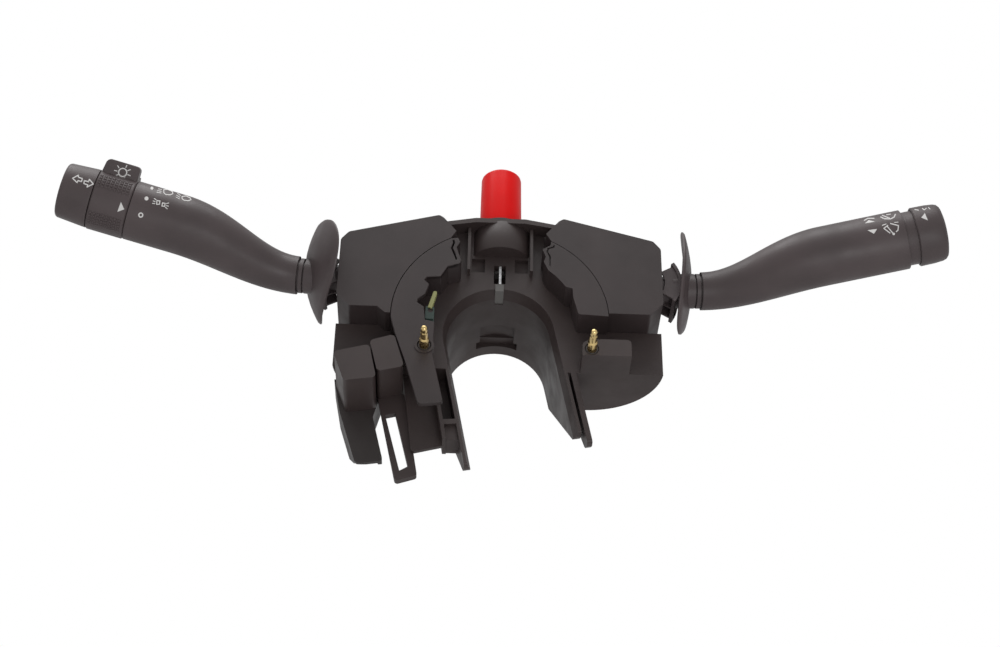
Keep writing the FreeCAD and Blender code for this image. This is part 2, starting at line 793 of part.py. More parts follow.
def stalk_root(side):
    """Tongue in the yoke, neck through the module's side and collar outside the shield."""
    body = new_body(f"{SIDE_NAME[side]}_stalk_root", pivot_frame(side))
    sketch = new_sketch(body, body.Label + "_profile")
    neck = size.neck_radius
    collar = size.collar_radius
    start = size.shield_place + 2.4
    draw(sketch, rounded([
        (0, 9.6), (neck - 1.0, 9.6), (neck, 10.6), (neck, start), (collar - 0.8, start),
        (collar, start + 0.8), (collar, size.arm_start - 1.5), (collar - 0.8, size.arm_start - 0.7),
        (7.6, size.arm_start - 0.7), (7.6, size.arm_start), (0, size.arm_start),
    ]))
    feature = body.newObject("PartDesign::Revolution", body.Label + "_turned")
    feature.Profile = sketch
    feature.ReferenceAxis = (sketch, ["V_Axis"])
    feature.Angle = 360
    tongue = new_sketch(body, body.Label + "_tongue")
    draw(tongue, rounded([(-size.tongue_half, -7.0, 1.0), (size.tongue_half, -7.0, 1.0),
                          (size.tongue_half, 10.0), (-size.tongue_half, 10.0)]))
    pad(body, tongue, "10", middle=True)
    bore = draw_circle(new_sketch(body, body.Label + "_bore", "YZ_Plane", height="- 10"), (0, 0),
                       "rock_pin_radius + running_gap")
    pocket(body, bore, reverse=True)
    return body


def shield(side):
    """Oval splash shield on the neck, bowed away from the module."""
    body = new_body(f"{SIDE_NAME[side]}_shield", pivot_frame(side, size.shield_place))
    bow = 156.0
    reach = 31.0
    wall = size.shield_wall
    neck = size.neck_radius
    sketch = new_sketch(body, body.Label + "_profile")

    def fall(radius):
        return -radius ** 2 / (2 * bow)
    half = (neck + reach) / 2
    draw(sketch, [
        arc((neck, fall(neck)), (half, fall(half)), (reach, fall(reach))),
        line((reach, fall(reach)), (reach, fall(reach) + wall)),
        arc((reach, fall(reach) + wall), (half, fall(half) + wall), (neck, fall(neck) + wall)),
        line((neck, fall(neck) + wall), (neck, fall(neck))),
    ])
    feature = body.newObject("PartDesign::Revolution", body.Label + "_turned")
    feature.Profile = sketch
    feature.ReferenceAxis = (sketch, ["V_Axis"])
    feature.Angle = 360
    trim = new_sketch(body, body.Label + "_trim", "XY_Plane", height="- 20")
    trim.addGeometry(Part.Circle(Vector(0, 0, 0), Vector(0, 0, 1), 60.0), False)
    trim.addGeometry(Part.Ellipse(Vector(3.0, 0, 0), size.shield_height / 2, size.shield_depth / 2),
                     False)
    pocket(body, trim, reverse=True)
    return body


# Stalk arms

BARREL_YAW = 12.5
BARREL_RISE = {LEFT: 9.1, RIGHT: 7.7}
BARREL_START = {LEFT: (85.0, 23.4, 13.0), RIGHT: (85.0, 23.4, 6.9)}
BARREL_LENGTH = {LEFT: 23.0, RIGHT: 37.0}


def barrel_direction(side):
    yaw = math.radians(BARREL_YAW)
    rise = math.radians(BARREL_RISE[side])
    return Vector(side * math.cos(yaw) * math.cos(rise), -math.sin(yaw) * math.cos(rise),
                  math.sin(rise))


def barrel_point(side, along=0.0):
    out, toward, up = BARREL_START[side]
    start = pivot_point(side) + Vector(side * out, -toward, up)
    return start + barrel_direction(side) * along


def barrel_frame(side, along=0.0):
    """Own Z along the barrel, own X upwards."""
    outward = barrel_direction(side)
    across = outward.cross(Vector(0, 0, 1)).normalize()
    upward = across.cross(outward)
    return Placement(barrel_point(side, along), Rotation(upward, outward.cross(upward), outward, "ZXY"))


def arm_point(side, share):
    """Point and direction on the curve from the collar to the barrel."""
    start = pivot_point(side) + root_direction(side) * size.arm_start
    end = barrel_point(side)
    pull = (end - start).Length * 1.05
    first = root_direction(side) * pull
    last = barrel_direction(side) * pull
    square, cube = share ** 2, share ** 3
    point = start * (2 * cube - 3 * square + 1) + first * (cube - 2 * square + share) \
        + end * (3 * square - 2 * cube) + last * (cube - square)
    heading = start * (6 * square - 6 * share) + first * (3 * square - 4 * share + 1) \
        + end * (6 * share - 6 * square) + last * (3 * square - 2 * share)
    return point, heading.normalize()


def stalk_arm(side):
    """Arm that swells from the neck to the barrel, with a spindle for the end pieces."""
    body = new_body(f"{SIDE_NAME[side]}_stalk_arm")
    sketches = []
    for number in range(8):
        share = number / 7
        point, heading = arm_point(side, share)
        swell = 3 * share ** 2 - 2 * share ** 3
        sketch = new_sketch(body, f"{body.Label}_section_{number}", "XY_Plane",
                            turn=Rotation(Vector(0, 0, 1), heading), base=tuple(point))
        sketches.append(draw_circle(
            sketch, (0, 0), f"neck_end_radius + ( barrel_radius - neck_end_radius ) * {swell:.4f}"))
    loft = body.newObject("PartDesign::AdditiveLoft", body.Label + "_loft")
    loft.Profile = sketches[0]
    loft.Sections = sketches[1:]
    doc.recompute()
    barrel = new_sketch(body, body.Label + "_barrel", "XY_Plane",
                        turn=Rotation(Vector(0, 0, 1), barrel_direction(side)),
                        base=tuple(barrel_point(side)))
    draw_circle(barrel, (0, 0), "barrel_radius")
    pad(body, barrel, str(BARREL_LENGTH[side]))
    spindle = new_sketch(body, body.Label + "_spindle", "XY_Plane",
                         turn=Rotation(Vector(0, 0, 1), barrel_direction(side)),
                         base=tuple(barrel_point(side, BARREL_LENGTH[side] - 1.0)))
    draw_circle(spindle, (0, 0), "spindle_radius")
    pad(body, spindle, "27" if side == LEFT else "14")
    return body


def lamp_ring():
    """Rotary ring for the lamps, with its pointer tab."""
    start = BARREL_LENGTH[LEFT] + 0.3
    length = size.ring_length
    bore = size.spindle_radius + size.running_gap
    outer = size.barrel_radius + 0.2
    body = turned("headlamp_ring", [
        (bore, 0), (outer - 0.6, 0), (outer, 0.6), (outer, length - 0.6), (outer - 0.6, length),
        (bore, length),
    ], barrel_frame(LEFT, start))
    tab = new_sketch(body, "ring_tab", "XY_Plane", height="0.4")
    draw(tab, rounded([(outer - 2.0, -4.6), (outer + 3.0, -4.0, 1.2), (outer + 3.0, 4.0, 1.2),
                       (outer - 2.0, 4.6)]))
    pad(body, tab, "15")
    return body


def end_cap():
    """Fixed cap on the end of the left stalk."""
    start = BARREL_LENGTH[LEFT] + size.ring_length + 0.6
    radius = size.barrel_radius - 0.1
    bore = size.spindle_radius
    return turned("left_end_cap", [
        (bore, 0), (radius, 0), (radius, 1.0), (radius - 1.0, 14.6, 1.8), (0, 15.4), (0, 10.0), (bore, 10.0),
    ], barrel_frame(LEFT, start))


def wash_button():
    """Push button on the end of the right stalk, hollow round the spindle."""
    start = BARREL_LENGTH[RIGHT] + size.button_stroke + 0.4
    radius = size.barrel_radius - 0.5
    bore = size.spindle_radius + size.running_gap
    return turned("rear_wash_button", [
        (bore, 0), (radius, 0), (radius - 0.7, 19.6, 2.0), (0, 20.2), (0, 17.2), (bore, 17.2),
    ], barrel_frame(RIGHT, start))


# Hazard switch and horn contacts

def hazard_pieces():
    """Button, plunger, return spring and the latch strip."""
    top = size.button_top
    radius = size.button_radius
    base = size.button_base_radius
    low = size.boss_bottom + 3.0 + size.button_travel + 5.0
    place = Placement(Vector(0, size.button_setback, 0), Rotation())
    turned("hazard_button", [
        (size.plunger_radius, low), (base, low), (radius, top, 3.2), (0, top + 0.9), (0, low + 6.0),
        (size.plunger_radius, low + 6.0),
    ], place)
    turned("hazard_plunger", [
        (0, 39.0), (size.plunger_radius - 0.5, 39.0), (size.plunger_radius, 39.5),
        (size.plunger_radius, low + 6.0), (0, low + 6.0),
    ], place)
    floor = size.boss_bottom + 3.0
    turned("hazard_spring", [
        (size.plunger_radius + 0.6, floor + 0.1), (size.plunger_radius + 1.4, floor + 0.1),
        (size.plunger_radius + 1.4, low - 0.1), (size.plunger_radius + 0.6, low - 0.1),
    ], place)
    strip = new_body("hazard_latch_strip")
    slab(strip, "latch_strip", rounded([(-0.35, 29.5), (0.75, 29.5), (0.75, 40.1), (-0.35, 40.1)]),
         "- 2.4", "- 0.3")
    tongue = new_body("lock_tongue")
    slab(tongue, "lock_tongue_plate", tongue_outline(24.9), "- tongue_length", "0.4")


def horn_pieces(side):
    """Sprung contact pin in its sleeve."""
    name = SIDE_NAME[side]
    place = PIN_PLACE[side]
    front = size.module_rise
    sleeve_length = 13.0
    origin = (place[0], -front + sleeve_length, place[1])
    frame = facing(origin, (0, -1, 0))
    bore = size.pin_radius + size.running_gap
    outer = size.sleeve_radius
    turned(f"{name}_horn_sleeve", [
        (0, 0), (outer, 0), (outer, sleeve_length - 0.6), (outer - 0.6, sleeve_length),
        (bore, sleeve_length), (bore, 1.5), (0, 1.5),
    ], frame)
    low = 1.5 + size.pin_travel + 2.0
    tip = size.pin_tip_radius
    end = sleeve_length + size.pin_reach
    turned(f"{name}_horn_pin", [
        (0, low), (size.pin_radius, low), (size.pin_radius, sleeve_length + 5.4),
        (tip + 0.2, sleeve_length + 6.4), (tip + 0.2, end - 4.0), (tip, end - 3.4), (tip, end, tip * 0.96),
        (0, end),
    ], frame)
    turned(f"{name}_horn_spring", [
        (size.pin_radius - 0.9, 1.6), (size.pin_radius - 0.3, 1.6), (size.pin_radius - 0.3, low - 0.1),
        (size.pin_radius - 0.9, low - 0.1),
    ], frame)


# Contacts inside the modules

def contact_pieces(side):
    """Slider that the yoke's finger drives, and the strips that it wipes."""
    name = SIDE_NAME[side]
    rise = math.radians(ROOT_RISE[side])
    middle = (size.pivot_offset - 11.0 * math.cos(rise), size.pivot_height - 11.0 * math.sin(rise))
    slider = new_body(f"{name}_contact_slider")
    across, tall = 3.4, 5.0
    slab(slider, slider.Label + "_block", rounded([
        (side * middle[0] - across, middle[1] - tall), (side * middle[0] + across, middle[1] - tall),
        (side * middle[0] + across, middle[1] + tall), (side * middle[0] - across, middle[1] + tall),
    ]), "- 11.5", "- 8.9")
    gap = size.finger_radius + 0.35
    cut_slab(slider, slider.Label + "_slot", rounded([
        (side * middle[0] - 2.4, middle[1] - gap), (side * middle[0] + 2.4, middle[1] - gap),
        (side * middle[0] + 2.4, middle[1] + gap), (side * middle[0] - 2.4, middle[1] + gap),
    ]), "- 11.6", "- 8.8")
    strips = new_body(f"{name}_contact_strips")
    plate = new_sketch(strips, strips.Label + "_plate", height="- 12")
    draw_box(plate, side * middle[0] - 2.9, middle[1] - 9.0, side * middle[0] + 2.9, middle[1] + 9.0)
    pad(strips, plate, "0.3")


def cancel_pieces():
    """Pawl that cancels the left stalk, on its swinging carrier."""
    shared = [(-32.6, 7.2), (-29.6, 6.0)]
    pawl = new_body("cancel_pawl")
    slab(pawl, "pawl_finger", rounded(shared + [(-26.9, 14.0, 1.1), (-29.2, 14.8, 1.1)]), "8", "12")
    carrier = new_body("cancel_pawl_carrier")
    slab(carrier, "carrier", rounded([(-34.8, 1.6, 1.0), (-30.0, 1.6, 1.0)] + shared[::-1]),
         "clear_gap", "11")
    cut_hole(carrier, "carrier_bore", PAWL_PIVOT, "pawl_pivot_radius + running_gap", "0", "12")


# Connectors and fasteners

def left_connector():
    """Plug shell below the left side, its blades, and the slotted harness latch."""
    shell = new_body("left_connector_shell")
    slab(shell, "left_shell_outline", rounded([
        (-76.0, -20.0), (-72.6, -37.0, 2.0), (-63.7, -65.0, 3.0), (-51.3, -63.0, 1.5), (-57.0, -40.0),
        (-52.0, -20.0),
    ]), "- body_depth", "- block_depth")
    cut_slab(shell, "left_shell_mouth", rounded([
        (-69.6, -40.0), (-59.0, -36.6), (-52.4, -68.0), (-62.4, -70.0),
    ]), "- body_depth + 2", "- block_depth - 2")
    blades = new_body("left_terminals")
    for row in range(2):
        for column in range(4):
            blade = new_sketch(blades, f"left_blade_{row}_{column}", height=f"- {16.5 + 6.0 * row}")
            x = -67.4 + 2.2 * column
            z = -40.1 + (x + 69.6) * 3.4 / 10.6
            draw(blade, rounded([(x, z), (x + 1.0, z + 3.4 / 10.6), (x + 4.0, z - 11.6),
                                 (x + 3.0, z - 11.9)]))
            pad(blades, blade, "0.8")
    latch = new_body("harness_latch")
    slab(latch, "latch_frame", rounded([
        (-54.9, -32.4), (-42.9, -29.2), (-35.4, -72.0, 1.5), (-45.2, -75.4, 1.5),
    ]), "- 12", "- 8.6")
    cut_slab(latch, "latch_frame_slot", rounded([
        (-51.2, -40.8), (-46.6, -39.6), (-39.6, -67.6), (-43.4, -70.0),
    ]), "- 13", "- 8")


def right_connector():
    """Plug shell behind the right side, and its blades."""
    shell = new_body("right_connector_shell")
    slab(shell, "right_shell_outline", rounded([
        (34.0, -19.0, 1.5), (58.0, -19.0, 1.5), (58.0, -3.0, 1.5), (34.0, -3.0, 1.5),
    ]), "- body_depth - 12", "- body_depth")
    cut_slab(shell, "right_shell_mouth", rounded([
        (36.0, -17.0), (56.0, -17.0), (56.0, -5.0), (36.0, -5.0),
    ]), "- body_depth - 13", "- body_depth - 2")
    blades = new_body("right_terminals")
    for row in range(2):
        for column in range(4):
            blade = new_sketch(blades, f"right_blade_{row}_{column}", height="- body_depth - 10")
            x, z = 38.6 + 4.6 * column, -14.6 + 6.6 * row
            draw_box(blade, x, z, x + 2.2, z + 0.8)
            pad(blades, blade, "8")


def case_screws():
    """Screws that hold the switch modules from behind."""
    body = new_body("case_screws")
    for side in (LEFT, RIGHT):
        for place in screw_places(side):
            boss(body, "screw_shank", place, "screw_radius", "- screw_seat", "- 7")
            boss(body, "screw_head", place, "screw_radius * 2", "- screw_seat - 2", "- screw_seat")


def build():
    base_housing()
    for side in (LEFT, RIGHT):
        module_case(side)
        module_cover(side)
        sector_plate(side)
        yoke(side)
        rock_pin(side)
        detent_plunger(side)
        stalk_root(side)
        shield(side)
        stalk_arm(side)
        horn_pieces(side)
        contact_pieces(side)
    lamp_ring()
    end_cap()
    wash_button()
    hazard_pieces()
    cancel_pieces()
    left_connector()
    right_connector()
    case_screws()
    doc.recompute()


build()
for thing in doc.Objects:
    if "Invalid" in thing.State or "Error" in thing.State:
        raise RuntimeError(f"{thing.Label} is {thing.State}")
os.makedirs("parts", exist_ok=True)
for part in parts:
    if part.Shape.isNull() or not part.Shape.isValid():
        raise RuntimeError(f"{part.Label} has no valid shape")
    part.Shape.exportStep(f"parts/{part.Label}.step")
    print(part.Label, round(part.Shape.Volume), len(part.Shape.Solids))
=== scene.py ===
"""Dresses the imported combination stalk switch: finer shells, printed signs, materials, camera and light.

Outlines are in millimetres in the part's own drawing frame, which starts at the ring face; LEAD moves
them to the row's frame. Blender's pieces are in metres.
"""
import json
import math

import bpy
import bmesh
from mathutils import Matrix, Vector
from mathutils.bvhtree import BVHTree


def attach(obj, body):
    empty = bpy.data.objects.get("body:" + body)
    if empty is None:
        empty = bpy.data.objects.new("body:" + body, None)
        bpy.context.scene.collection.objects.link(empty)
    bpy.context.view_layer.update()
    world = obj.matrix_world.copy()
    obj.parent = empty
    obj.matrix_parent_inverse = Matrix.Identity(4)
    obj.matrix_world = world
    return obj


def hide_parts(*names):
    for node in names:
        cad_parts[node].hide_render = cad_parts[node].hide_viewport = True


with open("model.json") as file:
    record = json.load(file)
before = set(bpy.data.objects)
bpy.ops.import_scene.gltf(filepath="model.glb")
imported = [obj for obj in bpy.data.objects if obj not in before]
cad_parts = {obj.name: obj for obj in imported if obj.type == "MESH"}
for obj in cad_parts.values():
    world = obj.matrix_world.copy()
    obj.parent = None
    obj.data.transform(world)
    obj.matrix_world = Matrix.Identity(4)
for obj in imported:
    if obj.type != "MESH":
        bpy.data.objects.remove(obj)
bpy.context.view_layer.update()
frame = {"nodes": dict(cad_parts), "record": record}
nodes = frame["nodes"]
scene = bpy.context.scene

MM = 0.001
LEAD = 6.4
LEFT, RIGHT = -1, 1
SIDE_NAME = {LEFT: "left", RIGHT: "right"}


# Camera

CAMERA_AZIMUTH = math.radians(1.5)
CAMERA_ELEVATION = math.radians(35.0)
CAMERA_ROLL = math.radians(1.0)
CAMERA_DISTANCE = 0.850
CAMERA_SENSOR = 36.0
CAMERA_LENS = 65.1
CAMERA_TARGET = Vector((0.0005, -0.0064, 0.0064))
PHOTO_MIDDLE = (500.0, 323.5)
PHOTO_FOCUS = 1808.8

look = Vector((
    math.sin(CAMERA_AZIMUTH) * math.cos(CAMERA_ELEVATION),
    math.cos(CAMERA_AZIMUTH) * math.cos(CAMERA_ELEVATION),
    math.sin(CAMERA_ELEVATION),
))
level = Vector((math.cos(CAMERA_AZIMUTH), -math.sin(CAMERA_AZIMUTH), 0.0))
upright = level.cross(look)
side_axis = level * math.cos(CAMERA_ROLL) + upright * math.sin(CAMERA_ROLL)
top_axis = upright * math.cos(CAMERA_ROLL) - level * math.sin(CAMERA_ROLL)
camera_place = CAMERA_TARGET - look * CAMERA_DISTANCE

camera_data = bpy.data.cameras.new("camera")
camera_data.sensor_width = CAMERA_SENSOR
camera_data.lens = CAMERA_LENS
camera = bpy.data.objects.new("camera", camera_data)
scene.collection.objects.link(camera)
turn = Matrix((side_axis, top_axis, -look)).transposed().to_4x4()
camera.matrix_world = Matrix.Translation(camera_place) @ turn
scene.camera = camera


# Materials

GRAIN_DEPTH = 0.0002


def new_material(name):
    """A material with its node tree and its shader node."""
    material = bpy.data.materials.new(name)
    material.use_nodes = True
    tree = material.node_tree
    return material, tree, tree.nodes["Principled BSDF"]


def noise(tree, scale, detail=2.0, roughness=0.5):
    """A noise texture in the piece's own coordinates."""
    place = tree.nodes.new("ShaderNodeTexCoord")
    texture = tree.nodes.new("ShaderNodeTexNoise")
    texture.inputs["Scale"].default_value = scale
    texture.inputs["Detail"].default_value = detail
    texture.inputs["Roughness"].default_value = roughness
    tree.links.new(place.outputs["Object"], texture.inputs["Vector"])
    return texture


def ramp(tree, source, low, high, start=0.35, end=0.65):
    """Blends two colours by a texture's value."""
    blend = tree.nodes.new("ShaderNodeValToRGB")
    blend.color_ramp.elements[0].position = start
    blend.color_ramp.elements[1].position = end
    blend.color_ramp.elements[0].color = low
    blend.color_ramp.elements[1].color = high
    tree.links.new(source, blend.inputs["Fac"])
    return blend.outputs["Color"]


def grey(value):
    return (value, value, value, 1.0)


def plastic(name, colour, rough=(0.42, 0.55), grain=2600.0, depth=0.08, spread=0.12, gloss=0.36):
    """Moulded plastic: fine spark-eroded grain, slight cloudiness in colour and gloss."""
    material, tree, shader = new_material(name)
    shader.inputs["Specular IOR Level"].default_value = gloss
    cloud = noise(tree, 38.0, 3.0)
    low = tuple(c * (1.0 - spread) for c in colour) + (1.0,)
    high = tuple(min(1.0, c * (1.0 + spread)) for c in colour) + (1.0,)
    tree.links.new(ramp(tree, cloud.outputs["Fac"], low, high), shader.inputs["Base Color"])
    patch = noise(tree, 90.0, 4.0)
    tree.links.new(ramp(tree, patch.outputs["Fac"], grey(rough[0]), grey(rough[1])),
                   shader.inputs["Roughness"])
    fine = noise(tree, grain, 1.0)
    bump = tree.nodes.new("ShaderNodeBump")
    bump.inputs["Strength"].default_value = depth
    bump.inputs["Distance"].default_value = GRAIN_DEPTH
    tree.links.new(fine.outputs["Fac"], bump.inputs["Height"])
    tree.links.new(bump.outputs["Normal"], shader.inputs["Normal"])
    return material


def metal(name, colour, rough=(0.18, 0.34), scale=260.0):
    """Bare metal, slightly uneven in colour and gloss."""
    material, tree, shader = new_material(name)
    shader.inputs["Metallic"].default_value = 1.0
    cloud = noise(tree, scale, 3.0)
    low = tuple(c * 0.86 for c in colour) + (1.0,)
    high = tuple(min(1.0, c * 1.06) for c in colour) + (1.0,)
    tree.links.new(ramp(tree, cloud.outputs["Fac"], low, high), shader.inputs["Base Color"])
    patch = noise(tree, scale * 3.0, 2.0)
    tree.links.new(ramp(tree, patch.outputs["Fac"], grey(rough[0]), grey(rough[1])),
                   shader.inputs["Roughness"])
    return material


looks = {
    "housing_plastic": plastic("housing_plastic", (0.037, 0.0265, 0.0255)),
    "module_plastic": plastic("module_plastic", (0.031, 0.0225, 0.0225)),
    "stalk_plastic": plastic("stalk_plastic", (0.065, 0.050, 0.051), (0.4, 0.52), 3400.0, 0.12),
    "grip_plastic": plastic("grip_plastic", (0.065, 0.050, 0.051), (0.4, 0.52), 3000.0, 0.1),
    "inner_plastic": plastic("inner_plastic", (0.11, 0.105, 0.10)),
    "plug_plastic": plastic("plug_plastic", (0.033, 0.027, 0.026)),
    "hazard_red": plastic("hazard_red", (0.66, 0.003, 0.003), (0.32, 0.42), 1800.0, 0.02, 0.05, 0.1),
    "contact_brass": metal("contact_brass", (0.80, 0.60, 0.27)),
    "spring_steel": metal("spring_steel", (0.58, 0.58, 0.59)),
    "screw_steel": metal("screw_steel", (0.62, 0.62, 0.63)),
    "pawl_plastic": plastic("pawl_plastic", (0.27, 0.27, 0.11), (0.4, 0.5)),
    "pawl_dark": plastic("pawl_dark", (0.025, 0.045, 0.038), (0.4, 0.5)),
}
print_white = plastic("print_white", (0.62, 0.61, 0.60), (0.5, 0.6), 1200.0, 0.02, 0.04)
slot_of = {entry["node"]: entry["material_slot"] for entry in frame["record"]["subparts"]}
for name, thing in nodes.items():
    thing.data.materials.clear()
    thing.data.materials.append(looks[slot_of[name]])


# Drawing helpers

PARTING_RADIUS = 50.5
SHARP_ANGLE = 35.0


def polar(radius, degrees):
    """A point from its distance and its angle."""
    return (radius * math.cos(math.radians(degrees)), radius * math.sin(math.radians(degrees)))


def beyond(extra, degrees):
    """A point at an angle, a distance outside the parting arc of the switch modules."""
    return polar(PARTING_RADIUS + extra, degrees)


def arc_points(centre, radius, first, last, steps=16):
    """Points on an arc, its ends included."""
    return [(centre[0] + radius * math.cos(math.radians(first + (last - first) * k / steps)),
             centre[1] + radius * math.sin(math.radians(first + (last - first) * k / steps)))
            for k in range(steps + 1)]


def mirrored(points, side):
    """The points, which are drawn for the right, on the given side."""
    return [(side * point[0], *point[1:]) for point in points]


def rounded(corners, steps=5):
    """Closed outline through corners (x, y) or (x, y, radius)."""
    outline = []
    count = len(corners)
    for index, corner in enumerate(corners):
        here = Vector(corner[:2])
        if len(corner) < 3:
            outline.append(tuple(here))
            continue
        before = (Vector(corners[index - 1][:2]) - here).normalized()
        after = (Vector(corners[(index + 1) % count][:2]) - here).normalized()
        half = math.acos(max(-1.0, min(1.0, before.dot(after)))) / 2
        centre = here + (before + after).normalized() * (corner[2] / math.sin(half))
        reach = corner[2] / math.tan(half)
        start, end = here + before * reach - centre, here + after * reach - centre
        sweep = math.atan2(start.x * end.y - start.y * end.x, start.dot(end))
        for step in range(steps + 1):
            angle = sweep * step / steps
            outline.append((centre.x + start.x * math.cos(angle) - start.y * math.sin(angle),
                            centre.y + start.x * math.sin(angle) + start.y * math.cos(angle)))
    return outline


def axes(origin, across, along, outward):
    """A frame with own X, Y and Z along the three given directions."""
    place = Matrix((across, along, outward)).transposed().to_4x4()
    place.translation = origin
    return place


def new_piece(name, shape, look_name, smooth=SHARP_ANGLE):
    """A mesh object from a bmesh in millimetres, with its material and shading."""
    bmesh.ops.remove_doubles(shape, verts=shape.verts, dist=0.0005)
    bmesh.ops.recalc_face_normals(shape, faces=shape.faces)
    bmesh.ops.scale(shape, verts=shape.verts, vec=(MM, MM, MM))
    mesh = bpy.data.meshes.new(name)
    shape.to_mesh(mesh)
    shape.free()
    thing = bpy.data.objects.new(name, mesh)
    scene.collection.objects.link(thing)
    mesh.materials.append(looks[look_name])
    mesh.shade_smooth()
    mesh.set_sharp_from_angle(angle=math.radians(smooth))
    return thing


def prism(outline, low, high, place):
    """Closed solid between two heights along own Z."""
    shape = bmesh.new()
    rings = [[shape.verts.new(place @ Vector((x, y, z))) for x, y in outline] for z in (low, high)]
    for ring in rings:
        shape.faces.new(ring)
    count = len(outline)
    for index in range(count):
        after = (index + 1) % count
        shape.faces.new((rings[0][index], rings[0][after], rings[1][after], rings[1][index]))
    return shape


FACE = axes(Vector((0.0, -LEAD, 0.0)), Vector((1, 0, 0)), Vector((0, 0, 1)), Vector((0, -1, 0)))


def standing(name, outline, rear, front, look_name):
    """A solid whose outline is drawn on the ring face and that reaches from rear to front."""
    return new_piece(name, prism(outline, rear, front, FACE), look_name)


def lathe(profile, place, closed=False, steps=72):
    """Solid of revolution about own Z from (radius, height) pairs."""
    shape = bmesh.new()
    rings = []
    for radius, height in profile:
        if radius < 1e-6:
            rings.append([shape.verts.new(place @ Vector((0, 0, height)))])
            continue
        rings.append([shape.verts.new(place @ Vector((radius * math.cos(2 * math.pi * k / steps),
                                                      radius * math.sin(2 * math.pi * k / steps),
                                                      height))) for k in range(steps)])
    pairs = list(zip(rings, rings[1:]))
    if closed:
        pairs.append((rings[-1], rings[0]))
    for low, high in pairs:
        for k in range(steps):
            after = (k + 1) % steps
            corners = [low[k % len(low)], low[after % len(low)], high[after % len(high)],
                       high[k % len(high)]]
            unique = list(dict.fromkeys(corners))
            if len(unique) > 2:
                shape.faces.new(unique)
    return shape


def cut(thing, *cutters):
    """Takes other solids out of a piece."""
    for cutter in cutters:
        change = thing.modifiers.new("cut", "BOOLEAN")
        change.operation = "DIFFERENCE"
        change.solver = "EXACT"
        change.object = cutter
    bpy.context.view_layer.update()
    graph = bpy.context.evaluated_depsgraph_get()
    mesh = bpy.data.meshes.new_from_object(thing.evaluated_get(graph))
    thing.modifiers.clear()
    old = thing.data
    thing.data = mesh
    mesh.name = thing.name
    bpy.data.meshes.remove(old)
    for cutter in cutters:
        bpy.data.objects.remove(cutter)
    mesh.shade_smooth()
    mesh.set_sharp_from_angle(angle=math.radians(SHARP_ANGLE))
    return thing


def soften(thing, width=0.25):
    """Small moulded radius on the sharp edges."""
    edge = thing.modifiers.new("edge", "BEVEL")
    edge.width = width * MM
    edge.segments = 2
    edge.limit_method = "ANGLE"
    edge.angle_limit = math.radians(40.0)
    edge.harden_normals = False
    return thing


def seat(thing, body, slot, *replaced):
    """Fixes a piece to a body and hides the nodes that it stands for; the slot argument is not used."""
    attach(thing, body)
    if replaced:
        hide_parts(*replaced)
    return thing


# Stalk roots: drum, neck and shield

PIVOT = (66.0, -1.0, 27.0)
ROOT_RISE = {LEFT: 5.4, RIGHT: 2.4}
NECK = 8.3
ARM_START = 30.0
DRUM_INNER, DRUM_OUTER = 18.4, 20.0
DRUM_HALF = 9.0
DRUM_WINDOW_HALF, DRUM_WINDOW_SWEEP = 7.2, 11.0
RIB_HALF = 0.6
DRUM_ARC = {LEFT: (57.5, 128.0), RIGHT: (58.5, 128.0)}
SHIELD_WALL = 1.8
SHIELD = {
    LEFT: {"place": (26.6, -0.3, 5.2), "yaw": 10.1, "rise": -8.2, "bow": 42.8, "half": (22.1, 30.0)},
    RIGHT: {"place": (26.0, -0.1, 6.1), "yaw": 9.2, "rise": -4.3, "bow": 80.1, "half": (27.4, 18.0)},
}


def pivot_point(side):
    """Where the stalk's two hinges cross."""
    return Vector((side * PIVOT[0], PIVOT[1] - LEAD, PIVOT[2]))


def slanted(side, yaw, rise):
    """Direction outwards, turned towards the driver and upwards by degrees."""
    yaw, rise = math.radians(yaw), math.radians(rise)
    return Vector((side * math.cos(yaw) * math.cos(rise), -math.sin(yaw) * math.cos(rise),
                   math.sin(rise)))


def upward_frame(origin, outward):
    """Own Z along a direction and own X as far upwards as it can."""
    across = outward.cross(Vector((0, 0, 1))).normalized()
    upward = across.cross(outward)
    return axes(origin, upward, outward.cross(upward), outward)


def root_frame(side):
    """Frame at the pivot with own X upwards and own Z along the neck."""
    outward = slanted(side, 0.0, ROOT_RISE[side])
    upward = Vector((-side * outward.z, 0, side * outward.x))
    return axes(pivot_point(side), upward, outward.cross(upward), outward)


def ring_sector(inner, outer, first, last, steps=28):
    """Closed outline between two arcs."""
    return arc_points((0, 0), inner, first, last, steps) + arc_points((0, 0), outer, last, first, steps)


